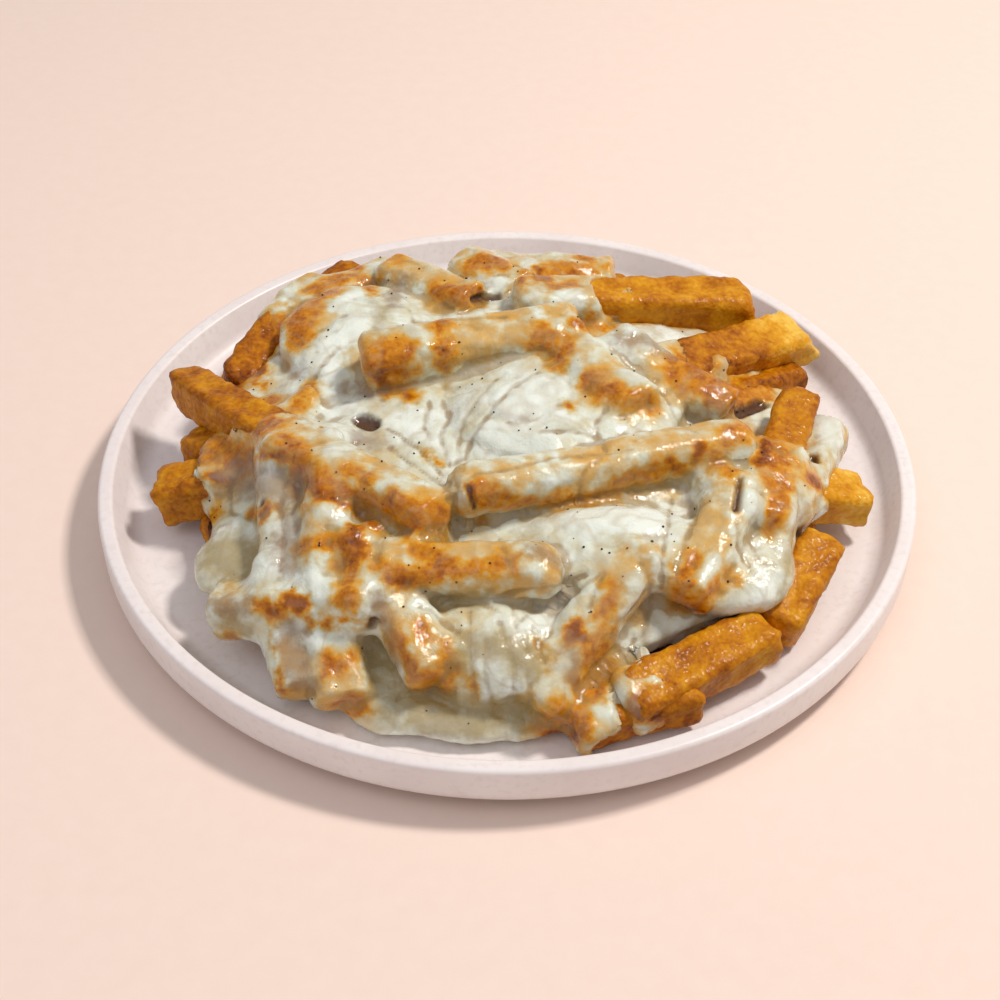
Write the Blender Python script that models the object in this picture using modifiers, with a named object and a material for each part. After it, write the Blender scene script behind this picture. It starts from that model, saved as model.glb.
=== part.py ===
"""A plate of poutine: thick-cut fries in a heap under one sheet of melted cheese, on a round plate.

Metres, +Z up. The origin is the middle of the plate's foot, on the table. -Y faces the eater.
"""

import copy
import math
import random
from collections import namedtuple

import bmesh
import bpy
import numpy as np
from mathutils import Matrix, Vector

MM = 0.001
GAP = 0.35 * MM
WELD = 0.01 * MM
SEAM_MERGE = 0.05 * MM
SHARP_ANGLE = math.radians(50)
BALL_SIDES = 24
SEED = 11

# Plate: a flat well, a short upright rim, a plain foot ring
PLATE_RADIUS = 125 * MM
PLATE_HEIGHT = 18 * MM
WELL_HEIGHT = 7.4 * MM
WELL_RADIUS = 111.8 * MM
UNDERSIDE_HEIGHT = 2.6 * MM
LIP_RADIUS = 1.4 * MM
LIP_WIDTH = 3.6 * MM
COVE_RADIUS = 6.5 * MM
HEEL_RADIUS = 5.5 * MM
HEEL_RISE = 1 * MM
FOOT_RADIUS = 78 * MM
FOOT_WIDTH = 5 * MM
FOOT_SLOPE = 1.2 * MM
PLATE_STEPS = 64

# Fries: square-cut sticks, a little bent and tapered, no two quite the same
FRY_WIDTH = 13.0 * MM
FRY_DEPTH = 11.6 * MM
FRY_EDGE = 2.6 * MM
FRY_SPREAD = 0.07
FRY_ROLL = 14
FRY_BEND = 2.2 * MM
FRY_TAPER = 0.08

# Heap: what is hidden in its middle is one mound, a squashed ball sunk in the well
MOUND_RADII = (96 * MM, 93 * MM, 26 * MM)
MOUND_MIDDLE = Vector((0, 1 * MM, 8 * MM))

# Cheese: how softly it bridges from fry to fry, and how far off a shape can pull on it; how thick
# it lies beyond each fry's own film, over what share of a fry it thins out, and where it thins out
# on the mound
BRIDGE = 2.0 * MM
BRIDGE_REACH = (-20 * MM, 60 * MM)
FILM_MORE = 0.7 * MM
FILM_FADE = 0.12
MOUND_FILM = 1.6 * MM
MOUND_BARE = 3 * MM
FILM_FOOT = (8 * MM, 15 * MM)

# The cheese's skin: the size of its cells, and how it is settled on its shape
SKIN_CELL = 6.0 * MM
SEED_GROWTH = 1.0 * MM
SMOOTH_TURNS = 10
SETTLE_TURNS = 16
LONGEST_STEP = 1.5 * MM
NUDGE = 0.2 * MM
LEAST_SLOPE_SQUARED = 0.2

# A fry is set by its free end (millimetres, z from the plate's well), the way it points (turn),
# how steeply it climbs to that end (rise), its length, the share of it from the free end that the
# cheese leaves bare, how thick the cheese lies on the rest, and how much thicker than most it is.
Fry = namedtuple("Fry", "x y z turn rise length bare film size", defaults=(1,))
SHOWN_FRIES = {
    "left_point": Fry(-101, 20, 22, 133, -10, 72, 0.62, 0.4, 1.12),
    "left_diagonal": Fry(-17, -60, 39, -36, 3, 62, 0.0, 0.4, 1.12),
    "left_stub": Fry(-104, -17, 10, 174, -18, 60, 0.3, 0.9, 1.2),
    "left_behind": Fry(-98, -1, 15, 157, -16, 55, 0.2, 0.4),
    "upper_left_long": Fry(-87, 25, 19, -117, -2, 56, 0.5, 0.2),
    "upper_left_next": Fry(-50, 84, 20, 53, 0, 46, 0.5, 0.3),
    "upper_left_end": Fry(-36, 80, 22, 30, 0, 40, 0.0, 0.5),
    "lower_left_stub": Fry(-83, -69, 13, 166, -18, 52, 0.0, 0.9),
    "left_column": Fry(-60, -72, 20, -85, -13, 56, 0.0, 1.2),
    "left_lower_column": Fry(-55, -97, 8, -75, -24, 42, 0.0, 1.0),
    "front_left_post": Fry(-49, -79, 23, -89, -20, 46, 0.0, 0.7),
    "front_left_end": Fry(-44, -101, 8, -79, -24, 46, 0.0, 0.7),
    "centre_left_bar": Fry(-36, -70, 31, 176, -3, 50, 0.0, 0.4),
    "centre_left_slant": Fry(-18, -99, 17, -58, -20, 50, 0.0, 0.6),
    "middle_long": Fry(72, -21, 36, 19, -3, 92, 0.0, 0.6),
    "upper_middle": Fry(-46, 9, 40, -167, -2, 70, 0.0, 0.4, 1.08),
    "top_right_big": Fry(80, 56, 27, 8, -6, 78, 0.57, 1.0, 1.26),
    "right_yellow": Fry(97, 50, 20, 36, -10, 66, 0.68, 0.3, 1.22),
    "right_under_yellow": Fry(93, 37, 11, 36, -14, 60, 0.9, 0.3, 1.2),
    "right_post": Fry(88, 3, 30, 72, 2, 56, 0.5, 0.8, 1.08),
    "right_back_lump": Fry(99, 3, 18, 66, -6, 46, 0.0, 0.8),
    "right_stub": Fry(107, -19, 11, 18, -18, 60, 0.38, 0.6, 1.15),
    "right_low_edge": Fry(92, -42, 14, 60, 8, 36, 1.0, 0.3, 1.15),
    "lower_right_wedge": Fry(73, -76, 12, 31, 2, 50, 0.72, 0.3, 1.25),
    "front_right_bar": Fry(51, -95, 9, 18, 3, 36, 0.75, 0.3, 1.12),
    "front_right_post": Fry(6, -104, 9, -129, -26, 57, 0.0, 0.4),
    "right_front_slant": Fry(48, -78, 25, -114, -10, 46, 0.0, 0.5),
    "right_column": Fry(71, -66, 17, -99, -15, 50, 0.0, 1.0),
    "back_left_end": Fry(-9, 49, 32, -39, 6, 40, 0.0, 0.4),
    "back_middle_end": Fry(5, 60, 28, -48, 6, 32, 0.0, 0.5),
    "back_right_end": Fry(38, 79, 22, -2, -1, 46, 0.0, 0.8),
    "centre_right_end": Fry(39, -15, 40, -56, 1, 42, 0.0, 0.6),
    "right_inner": Fry(68, -6, 31, -33, -12, 46, 0.0, 0.5),
    "left_inner": Fry(-56, 4, 25, 35, 2, 24, 0.0, 0.8),
}

# Two more kinds: a low ring of fries on the plate, and those on the slope at the back, in
# millimetres and degrees
RING_COUNT = 20
RING_RADIUS = 94
RING_HEIGHT = 6.6
BACK_COUNT = 9
BACK_RADIUS = 95
BACK_SPAN = (25, 165)

# Pools of cheese between the fries: centre and half sizes, in millimetres from the well
Pool = namedtuple("Pool", "x y z rx ry rz")
POOLS = {
    "middle": Pool(18, -6, 35, 34, 26, 8),
    "lower_middle": Pool(30, -60, 28, 26, 16, 9),
    "upper_left": Pool(-47, 37, 29, 25, 26, 7),
    "front_flow": Pool(-4, -86, 15, 20, 17, 13),
    "front_foot": Pool(-6, -99, 4, 26, 10, 5),
    "front_left_film": Pool(-32, -88, 5, 15, 18, 8),
    "left_film": Pool(-76, -50, 13, 14, 15, 6),
    "right_lower": Pool(64, -62, 20, 16, 14, 8),
    "back": Pool(12, 62, 19, 34, 18, 8),
    "back_flow": Pool(-34, 90, 9, 18, 14, 6),
    "back_right_flow": Pool(44, 83, 9, 17, 14, 6),
}


def clear_scene():
    for obj in list(bpy.data.objects):
        bpy.data.objects.remove(obj, do_unlink=True)


def new_material(name, colour, roughness):
    material = bpy.data.materials.new(name)
    material.use_nodes = True
    shader = material.node_tree.nodes["Principled BSDF"]
    shader.inputs["Base Color"].default_value = (*colour, 1)
    shader.inputs["Roughness"].default_value = roughness
    shader.inputs["Metallic"].default_value = 0
    return material


def new_object(name, bm, collection, material=None):
    mesh = bpy.data.meshes.new(name)
    bm.to_mesh(mesh)
    bm.free()
    obj = bpy.data.objects.new(name, mesh)
    collection.objects.link(obj)
    if material:
        mesh.materials.append(material)
    return obj


def arc(centre, radius, start, end, count):
    """Points (r, z) on an arc, with angles in degrees from the outward direction."""
    angles = [math.radians(start + (end - start) * i / (count - 1)) for i in range(count)]
    return [(centre[0] + radius * math.cos(a), centre[1] + radius * math.sin(a)) for a in angles]


def plate_profile():
    """Down the well, over the lip, down the outer wall and under the foot, as (r, z)."""
    lip = (PLATE_RADIUS - LIP_RADIUS, PLATE_HEIGHT - LIP_RADIUS)
    inner_lip = (PLATE_RADIUS - LIP_WIDTH, PLATE_HEIGHT - LIP_RADIUS)
    cove = (WELL_RADIUS, WELL_HEIGHT + COVE_RADIUS)
    heel = (PLATE_RADIUS - HEEL_RADIUS, UNDERSIDE_HEIGHT + HEEL_RISE + HEEL_RADIUS)
    foot_outer = FOOT_RADIUS + FOOT_WIDTH / 2
    foot_inner = FOOT_RADIUS - FOOT_WIDTH / 2
    points = [(0, WELL_HEIGHT)]
    points += arc(cove, COVE_RADIUS, -90, -28, 5)
    points += arc(inner_lip, LIP_RADIUS, 150, 90, 3)
    points += arc(lip, LIP_RADIUS, 90, 0, 4)
    points += arc(heel, HEEL_RADIUS, 0, -90, 5)
    points += [
        (foot_outer + FOOT_SLOPE, UNDERSIDE_HEIGHT),
        (foot_outer, 0),
        (foot_inner, 0),
        (foot_inner - FOOT_SLOPE, UNDERSIDE_HEIGHT),
        (0, UNDERSIDE_HEIGHT),
    ]
    return points


def make_plate(collection, material):
    bm = bmesh.new()
    verts = [bm.verts.new((r, 0, z)) for r, z in plate_profile()]
    for first, second in zip(verts, verts[1:]):
        bm.edges.new((first, second))
    plate = new_object("plate", bm, collection, material)
    screw = plate.modifiers.new("turn", "SCREW")
    screw.axis = "Z"
    screw.steps = PLATE_STEPS
    screw.render_steps = PLATE_STEPS
    screw.use_merge_vertices = True
    screw.merge_threshold = SEAM_MERGE
    screw.use_smooth_shade = True
    return plate


def placement(fry):
    """The matrix that sets a stick lying along X, centred, with its free end at the fry's own."""
    turned = Matrix.Rotation(math.radians(fry.turn), 4, "Z")
    raised = Matrix.Rotation(-math.radians(fry.rise), 4, "Y")
    tip = Vector((fry.x * MM, fry.y * MM, fry.z * MM + WELL_HEIGHT))
    back = Vector((-fry.length * MM / 2, 0, 0))
    return Matrix.Translation(tip) @ turned @ raised @ Matrix.Translation(back)


class Stick:
    """One fry's shape: its matrix, half sizes, bend and taper, drawn from a seeded source."""

    def __init__(self, fry, draw):
        self.fry = fry
        roll = Matrix.Rotation(math.radians(draw.uniform(-FRY_ROLL, FRY_ROLL)), 4, "X")
        self.matrix = placement(fry) @ roll
        self.half = Vector((
            fry.length * MM / 2,
            FRY_WIDTH / 2 * fry.size * (1 + draw.uniform(-FRY_SPREAD, FRY_SPREAD)),
            FRY_DEPTH / 2 * fry.size * (1 + draw.uniform(-FRY_SPREAD, FRY_SPREAD)),
        ))
        self.bend = FRY_BEND * draw.uniform(-1, 1)
        self.taper = FRY_TAPER * draw.uniform(-1, 1)

    def covered(self):
        """The part of the fry that lies under the cheese, as a shorter stick."""
        short = copy.copy(self)
        cut = self.half.x * self.fry.bare
        short.half = Vector((self.half.x - cut, self.half.y, self.half.z))
        short.matrix = self.matrix @ Matrix.Translation((-cut, 0, 0))
        return short

    def bow(self, along):
        """How far the bend moves the stick aside, from -1 at one end to 1 at the other."""
        return self.bend * (along * along - 1 / 3)

    def distance(self, points):
        """How far each point of an (n, 3) array lies outside the stick, and where along it."""
        inverse = np.array(self.matrix.inverted())
        local = points @ inverse[:3, :3].T + inverse[:3, 3]
        along = np.clip(local[:, 0] / self.half.x, -1, 1)
        local[:, 1] -= self.bow(along)
        size = 1 + self.taper * along
        core = np.array(self.half) - FRY_EDGE
        outside = np.abs(local) - core * np.stack([np.ones_like(size), size, size], axis=1)
        rounded = np.linalg.norm(np.maximum(outside, 0), axis=1)
        return rounded + np.minimum(outside.max(axis=1), 0) - FRY_EDGE, along

    def solid(self, grow):
        """A bevelled box, cut in three along its length, tapered, bent and set in place."""
        bm = bmesh.new()
        bmesh.ops.create_cube(bm, size=2)
        for vert in bm.verts:
            vert.co = Vector(side * (half + grow) for side, half in zip(vert.co, self.half))
        bmesh.ops.bevel(
            bm, geom=bm.edges[:], offset=FRY_EDGE, offset_type="OFFSET", affect="EDGES",
            segments=1, profile=0.5, material=-1,
        )
        for cut in (-1 / 3, 1 / 3):
            bmesh.ops.bisect_plane(
                bm, geom=bm.verts[:] + bm.edges[:] + bm.faces[:], dist=1e-7,
                plane_co=(cut * self.half.x, 0, 0), plane_no=(1, 0, 0),
            )
        for vert in bm.verts:
            along = vert.co.x / self.half.x
            size = 1 + self.taper * along
            shaped = Vector((vert.co.x, vert.co.y * size + self.bow(along), vert.co.z * size))
            vert.co = self.matrix @ shaped
        bmesh.ops.recalc_face_normals(bm, faces=bm.faces)
        return bm


def on_circle(radius, angle):
    return radius * math.cos(math.radians(angle)), radius * math.sin(math.radians(angle))


def ring_fries(draw):
    """Fries that lie on the plate round the foot of the heap, most of them pointing out."""
    fries = []
    for i in range(RING_COUNT):
        angle = 360 * (i + draw.uniform(-0.25, 0.25)) / RING_COUNT
        x, y = on_circle(RING_RADIUS + draw.uniform(-4, 4), angle)
        turn = angle + draw.uniform(-50, 50)
        fries.append(Fry(x, y, RING_HEIGHT, turn, 0, draw.uniform(44, 58), 1.0, 0))
    return fries


def back_fries(draw):
    """Fries on the slope that faces away from the eater."""
    fries = []
    for i in range(BACK_COUNT):
        angle = BACK_SPAN[0] + (BACK_SPAN[1] - BACK_SPAN[0]) * (i + 0.5) / BACK_COUNT
        x, y = on_circle(BACK_RADIUS + draw.uniform(-6, 6), angle)
        z = draw.uniform(8, 13)
        turn = angle + draw.uniform(-45, 45)
        rise = draw.uniform(-14, -5)
        fries.append(Fry(x, y, z, turn, rise, draw.uniform(46, 62), draw.uniform(0.1, 0.5), 0.5))
    return fries


def all_sticks():
    draw = random.Random(SEED)
    fries = list(SHOWN_FRIES.values()) + ring_fries(draw) + back_fries(draw)
    return [Stick(fry, draw) for fry in fries]


def bare_sticks(sticks):
    """The fries that show: those that the cheese covers from end to end are relief on it."""
    return [stick for stick in sticks if stick.fry.bare > 0]


def ball_distance(points, middle, radii):
    """About how far each point lies outside a squashed ball that stands on the well's height."""
    local = points - np.array(middle) - np.array((0, 0, WELL_HEIGHT))
    scaled = np.linalg.norm(local / radii, axis=1)
    steepness = np.linalg.norm(local / np.square(radii), axis=1)
    return scaled * (scaled - 1) / np.maximum(steepness, 1e-6)


def mound_distance(points):
    return ball_distance(points, MOUND_MIDDLE, np.array(MOUND_RADII))


def pool_distance(points, pool):
    middle = np.array((pool.x, pool.y, pool.z)) * MM
    return ball_distance(points, middle, np.array((pool.rx, pool.ry, pool.rz)) * MM)


def film_on(fry, along):
    """The cheese's thickness on a fry: nothing of the fry is left in the cheese where it is bare."""
    from_tip = (1 - along) / 2
    covered = np.clip((from_tip - fry.bare) / FILM_FADE + 0.5, 0, 1)
    sunk = FRY_WIDTH / 2
    return covered * (fry.film * MM + FILM_MORE + sunk) - sunk


def film_on_mound(height):
    """The mound is coated on top and bare by the plate."""
    covered = np.clip((height - FILM_FOOT[0]) / (FILM_FOOT[1] - FILM_FOOT[0]), 0, 1)
    return covered * (MOUND_FILM + MOUND_BARE) - MOUND_BARE


def cheese_field(points, sticks):
    """Negative inside the melted cheese: a soft union of the coated fries, the mound and the pools."""
    total = np.zeros(len(points))
    for stick in sticks:
        away, along = stick.distance(points)
        total += softened(away - film_on(stick.fry, along))
    for pool in POOLS.values():
        total += softened(pool_distance(points, pool))
    total += softened(mound_distance(points) - film_on_mound(points[:, 2] - WELL_HEIGHT))
    return -BRIDGE * np.log(total)


def softened(distance):
    return np.exp(-np.clip(distance, *BRIDGE_REACH) / BRIDGE)


def apply_modifiers(obj):
    bpy.context.view_layer.update()
    graph = bpy.context.evaluated_depsgraph_get()
    mesh = bpy.data.meshes.new_from_object(obj.evaluated_get(graph))
    obj.modifiers.clear()
    obj.data = mesh


def join(name, pieces, target):
    """One object, the Boolean union of the pieces. The pieces are removed."""
    first = pieces.objects[0]
    union = bpy.data.objects.new(name, first.data)
    bpy.data.objects.remove(first)
    target.objects.link(union)
    modifier = union.modifiers.new("union", "BOOLEAN")
    modifier.operation = "UNION"
    modifier.operand_type = "COLLECTION"
    modifier.collection = pieces
    apply_modifiers(union)
    for piece in list(pieces.objects):
        bpy.data.objects.remove(piece)
    bpy.data.collections.remove(pieces)
    return union


def cut_away(obj, cutter):
    """Takes the cutter out of the object, and removes the cutter."""
    cut = obj.modifiers.new("cut", "BOOLEAN")
    cut.operation = "DIFFERENCE"
    cut.object = cutter
    apply_modifiers(obj)
    bpy.data.objects.remove(cutter)


def shells_of(bm):
    """The mesh's faces, sorted into its separate shells."""
    bm.faces.ensure_lookup_table()
    seen = [False] * len(bm.faces)
    shells = []
    for start in bm.faces:
        if seen[start.index]:
            continue
        seen[start.index] = True
        shell = [start]
        for face in shell:
            for near in (other for edge in face.edges for other in edge.link_faces):
                if not seen[near.index]:
                    seen[near.index] = True
                    shell.append(near)
        shells.append(shell)
    return shells


def shell_volume(faces):
    volume = 0
    for face in faces:
        corners = [vert.co for vert in face.verts]
        for second, third in zip(corners[1:], corners[2:]):
            volume += corners[0].dot(second.cross(third)) / 6
    return volume


def keep_largest_shell(obj):
    """Fills sealed hollows and drops loose scraps: only the shell with the most volume stays."""
    bm = bmesh.new()
    bm.from_mesh(obj.data)
    bmesh.ops.remove_doubles(bm, verts=bm.verts, dist=WELD)
    bm.faces.index_update()
    shells = shells_of(bm)
    largest = max(shells, key=shell_volume)
    extra = [face for shell in shells if shell is not largest for face in shell]
    bmesh.ops.delete(bm, geom=extra, context="FACES")
    bm.to_mesh(obj.data)
    bm.free()


def finish(obj, material):
    """One clean shell in one material, shaded smooth but for its cut edges."""
    keep_largest_shell(obj)
    obj.data.materials.clear()
    obj.data.materials.append(material)
    obj.data.shade_smooth()
    obj.data.set_sharp_from_angle(angle=SHARP_ANGLE)


def ball_solid(middle, radii):
    """A squashed ball that stands on the well's height."""
    bm = bmesh.new()
    bmesh.ops.create_uvsphere(bm, u_segments=BALL_SIDES, v_segments=BALL_SIDES // 2, radius=1)
    bmesh.ops.scale(bm, vec=radii, verts=bm.verts)
    bmesh.ops.translate(bm, vec=Vector(middle) + Vector((0, 0, WELL_HEIGHT)), verts=bm.verts)
    return bm


def mound_solid(grow):
    return ball_solid(MOUND_MIDDLE, [radius + grow for radius in MOUND_RADII])


def pool_solid(pool):
    middle = Vector((pool.x, pool.y, pool.z)) * MM
    return ball_solid(middle, (pool.rx * MM, pool.ry * MM, pool.rz * MM))


def heap_object(name, sticks, grow, target):
    """The mound and the fries that show, each grown all round and then joined."""
    pieces = bpy.data.collections.new(name + "_pieces")
    bpy.context.scene.collection.children.link(pieces)
    new_object(name + "_mound", mound_solid(grow), pieces)
    for i, stick in enumerate(bare_sticks(sticks)):
        new_object(f"{name}_fry_{i}", stick.solid(grow), pieces)
    return join(name, pieces, target)


def slab_below(height, target):
    """A cutter, wider than the plate, that takes everything below a height."""
    bm = bmesh.new()
    bmesh.ops.create_cube(bm, size=4 * PLATE_RADIUS)
    bmesh.ops.translate(bm, vec=(0, 0, height - 2 * PLATE_RADIUS), verts=bm.verts)
    return new_object("slab", bm, target)


def make_fries(sticks, collection, material):
    fries = heap_object("fries", sticks, 0, collection)
    cut_away(fries, slab_below(WELL_HEIGHT + GAP, collection))
    finish(fries, material)


def cheese_skin(sticks, collection):
    """Mound, pools and the covered part of each fry, remeshed together into one even skin."""
    solids = [mound_solid(0)]
    solids += [stick.covered().solid(SEED_GROWTH) for stick in sticks if stick.fry.bare < 1]
    solids += [pool_solid(pool) for pool in POOLS.values()]
    bm = bmesh.new()
    for i, solid in enumerate(solids):
        piece = bpy.data.meshes.new(f"skin_{i}")
        solid.to_mesh(piece)
        solid.free()
        bm.from_mesh(piece)
        bpy.data.meshes.remove(piece)
    skin = new_object("melted_cheese", bm, collection)
    remesh = skin.modifiers.new("skin", "REMESH")
    remesh.mode = "VOXEL"
    remesh.voxel_size = SKIN_CELL
    apply_modifiers(skin)
    return skin


def newton_moves(points, sticks):
    """The step that takes each point down the field's slope to the cheese's surface."""
    field = cheese_field(points, sticks)
    ahead = [cheese_field(points + NUDGE * axis, sticks) for axis in np.eye(3)]
    slope = (np.stack(ahead, axis=1) - field[:, None]) / NUDGE
    steepness = np.maximum((slope * slope).sum(axis=1), LEAST_SLOPE_SQUARED)
    move = -slope * (field / steepness)[:, None]
    length = np.linalg.norm(move, axis=1)
    return move * np.minimum(1, LONGEST_STEP / np.maximum(length, 1e-9))[:, None]


def settle(skin, sticks):
    """Evens the skin out and moves it on to the cheese's surface, in turns."""
    bm = bmesh.new()
    bm.from_mesh(skin.data)
    for turn in range(SETTLE_TURNS):
        if turn < SMOOTH_TURNS:
            bmesh.ops.smooth_vert(
                bm, verts=bm.verts, factor=0.5, use_axis_x=True, use_axis_y=True, use_axis_z=True
            )
        points = np.array([vert.co for vert in bm.verts])
        for vert, move in zip(bm.verts, newton_moves(points, sticks)):
            vert.co += Vector(move)
    bm.to_mesh(skin.data)
    bm.free()


def make_cheese(sticks, collection, material):
    """The cheese's skin, less the heap that it lies on."""
    cheese = cheese_skin(sticks, collection)
    settle(cheese, sticks)
    cut_away(cheese, heap_object("heap_space", sticks, GAP, collection))
    cut_away(cheese, slab_below(WELL_HEIGHT + 2 * GAP, collection))
    finish(cheese, material)


def main():
    clear_scene()
    collection = bpy.data.collections.new("poutine")
    bpy.context.scene.collection.children.link(collection)
    sticks = all_sticks()
    make_plate(collection, new_material("glazed stoneware", (0.83, 0.78, 0.77), 0.25))
    make_fries(sticks, collection, new_material("fried potato", (0.55, 0.25, 0.04), 0.4))
    make_cheese(sticks, collection, new_material("melted cheese", (0.62, 0.64, 0.52), 0.25))


main()
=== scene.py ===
# %% [markdown]
# # A plate of poutine
#
# This lesson dresses a plain model of poutine: a plate, a heap of thick-cut fries, and a sheet of
# melted cheese with gravy showing through it. The plain model is loaded first and never changed.
# Each of its three pieces is then replaced by a detailed one of the same form.
#
# Everything is in metres, +Z is up, and -Y faces the eater.

# %% Load the frame
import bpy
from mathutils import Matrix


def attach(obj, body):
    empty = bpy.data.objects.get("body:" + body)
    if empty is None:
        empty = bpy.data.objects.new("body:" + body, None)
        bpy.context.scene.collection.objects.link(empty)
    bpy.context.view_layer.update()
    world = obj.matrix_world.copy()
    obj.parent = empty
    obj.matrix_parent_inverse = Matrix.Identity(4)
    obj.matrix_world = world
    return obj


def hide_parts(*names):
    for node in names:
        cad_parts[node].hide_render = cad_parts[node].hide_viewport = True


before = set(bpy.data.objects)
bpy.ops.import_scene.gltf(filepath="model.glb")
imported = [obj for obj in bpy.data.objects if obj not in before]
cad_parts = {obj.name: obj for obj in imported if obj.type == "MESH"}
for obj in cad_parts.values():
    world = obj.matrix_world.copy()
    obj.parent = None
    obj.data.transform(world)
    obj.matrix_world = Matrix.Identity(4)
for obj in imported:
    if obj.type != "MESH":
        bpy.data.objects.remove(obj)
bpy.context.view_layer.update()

import copy
import math
import random
from collections import namedtuple

import bmesh
import bpy
import numpy as np
from mathutils import Matrix, Vector
from mathutils.bvhtree import BVHTree

MM = 0.001
SEED = 11
print("frame nodes", sorted(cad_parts))

# %% [markdown]
# ## Colours and nodes
#
# A colour is written as people write it, in sRGB hex, and one function turns it into the linear
# light that a shader works in. One more function adds a shader node with its settings and links.
# A node group could do the same, but plain calls read from top to bottom like a recipe.

# %% Colour and node helpers
def linear(hex_colour):
    """An sRGB hex colour as linear RGBA."""
    channels = [int(hex_colour[i:i + 2], 16) / 255 for i in (1, 3, 5)]
    return tuple(c / 12.92 if c <= 0.04045 else ((c + 0.055) / 1.055) ** 2.4 for c in channels) + (1,)


def add(tree, kind, inputs=None, stops=None, **settings):
    """A shader node with its settings. Inputs are sockets to link from, or plain values.

    Stops are (position, hex colour) pairs from 0 to 1, for a colour ramp.
    """
    node = tree.nodes.new("ShaderNode" + kind)
    for name, value in settings.items():
        setattr(node, name, value)
    if stops:
        for position, _ in stops[1:-1]:
            node.color_ramp.elements.new(position)
        for element, (position, colour) in zip(node.color_ramp.elements, stops):
            element.position, element.color = position, linear(colour)
    for name, value in (inputs or {}).items():
        if isinstance(value, bpy.types.NodeSocket):
            tree.links.new(value, node.inputs[name])
        else:
            node.inputs[name].default_value = value
    return node


# A noise texture seldom leaves this span
NOISE_SPAN = {"From Min": 0.3, "From Max": 0.7}


def new_material(name, **shader_values):
    """A material with a Principled shader, whose constants are set on its own sockets."""
    material = bpy.data.materials.new(name)
    material.use_nodes = True
    tree = material.node_tree
    shader = tree.nodes["Principled BSDF"]
    for socket, value in shader_values.items():
        shader.inputs[socket.replace("_", " ")].default_value = value
    return material, tree, shader


# %% [markdown]
# ## The camera
#
# The plate's rim is a circle, and in the photograph it is an ellipse. Its place, width and height
# give the camera: about 42 degrees above the table, and a little over half a metre away. The
# camera comes first, because marks that were picked in the photograph are later thrown
# from it on to the cheese, as if by a projector.

# %% Camera
PHOTO_WIDTH = 1000
LENS_PIXELS = 1800
CAMERA_PLACE = Vector((-0.0021, -0.4216, 0.3812))
CAMERA_TILT = math.radians(47.87)

camera_data = bpy.data.cameras.new("camera")
camera_data.sensor_width = 36
camera_data.lens = camera_data.sensor_width * LENS_PIXELS / PHOTO_WIDTH
camera = bpy.data.objects.new("camera", camera_data)
camera.location = CAMERA_PLACE
camera.rotation_euler = (CAMERA_TILT, 0, 0)
bpy.context.scene.collection.objects.link(camera)
bpy.context.scene.camera = camera


def photo_ray(pixel):
    """The direction in which the camera sees a pixel of the 1000 x 1000 photograph."""
    middle = PHOTO_WIDTH / 2
    ahead = Vector((pixel[0] - middle, middle - pixel[1], -LENS_PIXELS)).normalized()
    return Matrix.Rotation(CAMERA_TILT, 3, "X") @ ahead


print("camera lens", round(camera_data.lens, 1), "mm")

# %% [markdown]
# ## The plate
#
# The plate is stoneware thrown or jiggered on a wheel, so it is a profile turned round an axis.
# The flat well runs out to a small cove, a short upright rim and a rounded lip. In Blender that
# is one row of edges and a spin. A lathe modifier would do as well, but the spin leaves a plain
# mesh that can be shaded at once.

# %% Plate shape
PLATE_RADIUS = 125 * MM
PLATE_HEIGHT = 18 * MM
WELL_HEIGHT = 7.4 * MM
WELL_RADIUS = 111.8 * MM
UNDERSIDE_HEIGHT = 2.6 * MM
LIP_RADIUS = 1.4 * MM
LIP_WIDTH = 3.6 * MM
COVE_RADIUS = 6.5 * MM
HEEL_RADIUS = 5.5 * MM
HEEL_RISE = 1 * MM
FOOT_RADIUS = 78 * MM
FOOT_WIDTH = 5 * MM
FOOT_SLOPE = 1.2 * MM
FOOT_EDGE = 0.6 * MM
PLATE_STEPS = 192


def arc(centre, radius, start, end, count):
    """Points (r, z) on an arc, with angles in degrees from the outward direction."""
    angles = [math.radians(start + (end - start) * i / (count - 1)) for i in range(count)]
    return [(centre[0] + radius * math.cos(a), centre[1] + radius * math.sin(a)) for a in angles]


def plate_profile():
    lip = (PLATE_RADIUS - LIP_RADIUS, PLATE_HEIGHT - LIP_RADIUS)
    inner_lip = (PLATE_RADIUS - LIP_WIDTH, PLATE_HEIGHT - LIP_RADIUS)
    cove = (WELL_RADIUS, WELL_HEIGHT + COVE_RADIUS)
    heel = (PLATE_RADIUS - HEEL_RADIUS, UNDERSIDE_HEIGHT + HEEL_RISE + HEEL_RADIUS)
    outer_foot = FOOT_RADIUS + FOOT_WIDTH / 2
    inner_foot = FOOT_RADIUS - FOOT_WIDTH / 2
    points = [(WELL_RADIUS * share, WELL_HEIGHT) for share in (0, 0.3, 0.6, 0.85)]
    points += arc(cove, COVE_RADIUS, -90, -28, 12)
    points += arc(inner_lip, LIP_RADIUS, 150, 90, 6)
    points += arc(lip, LIP_RADIUS, 90, 0, 8)
    points += arc(heel, HEEL_RADIUS, 0, -90, 12)
    points += [(outer_foot + FOOT_SLOPE, UNDERSIDE_HEIGHT)]
    points += arc((outer_foot - FOOT_EDGE, FOOT_EDGE), FOOT_EDGE, -20, -90, 4)
    points += arc((inner_foot + FOOT_EDGE, FOOT_EDGE), FOOT_EDGE, -90, -160, 4)
    points += [(inner_foot - FOOT_SLOPE, UNDERSIDE_HEIGHT), (0, UNDERSIDE_HEIGHT)]
    return points


def object_from(name, bm, smooth=True):
    mesh = bpy.data.meshes.new(name)
    bm.to_mesh(mesh)
    bm.free()
    if smooth:
        mesh.shade_smooth()
    made = bpy.data.objects.new(name, mesh)
    bpy.context.scene.collection.objects.link(made)
    return made


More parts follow.
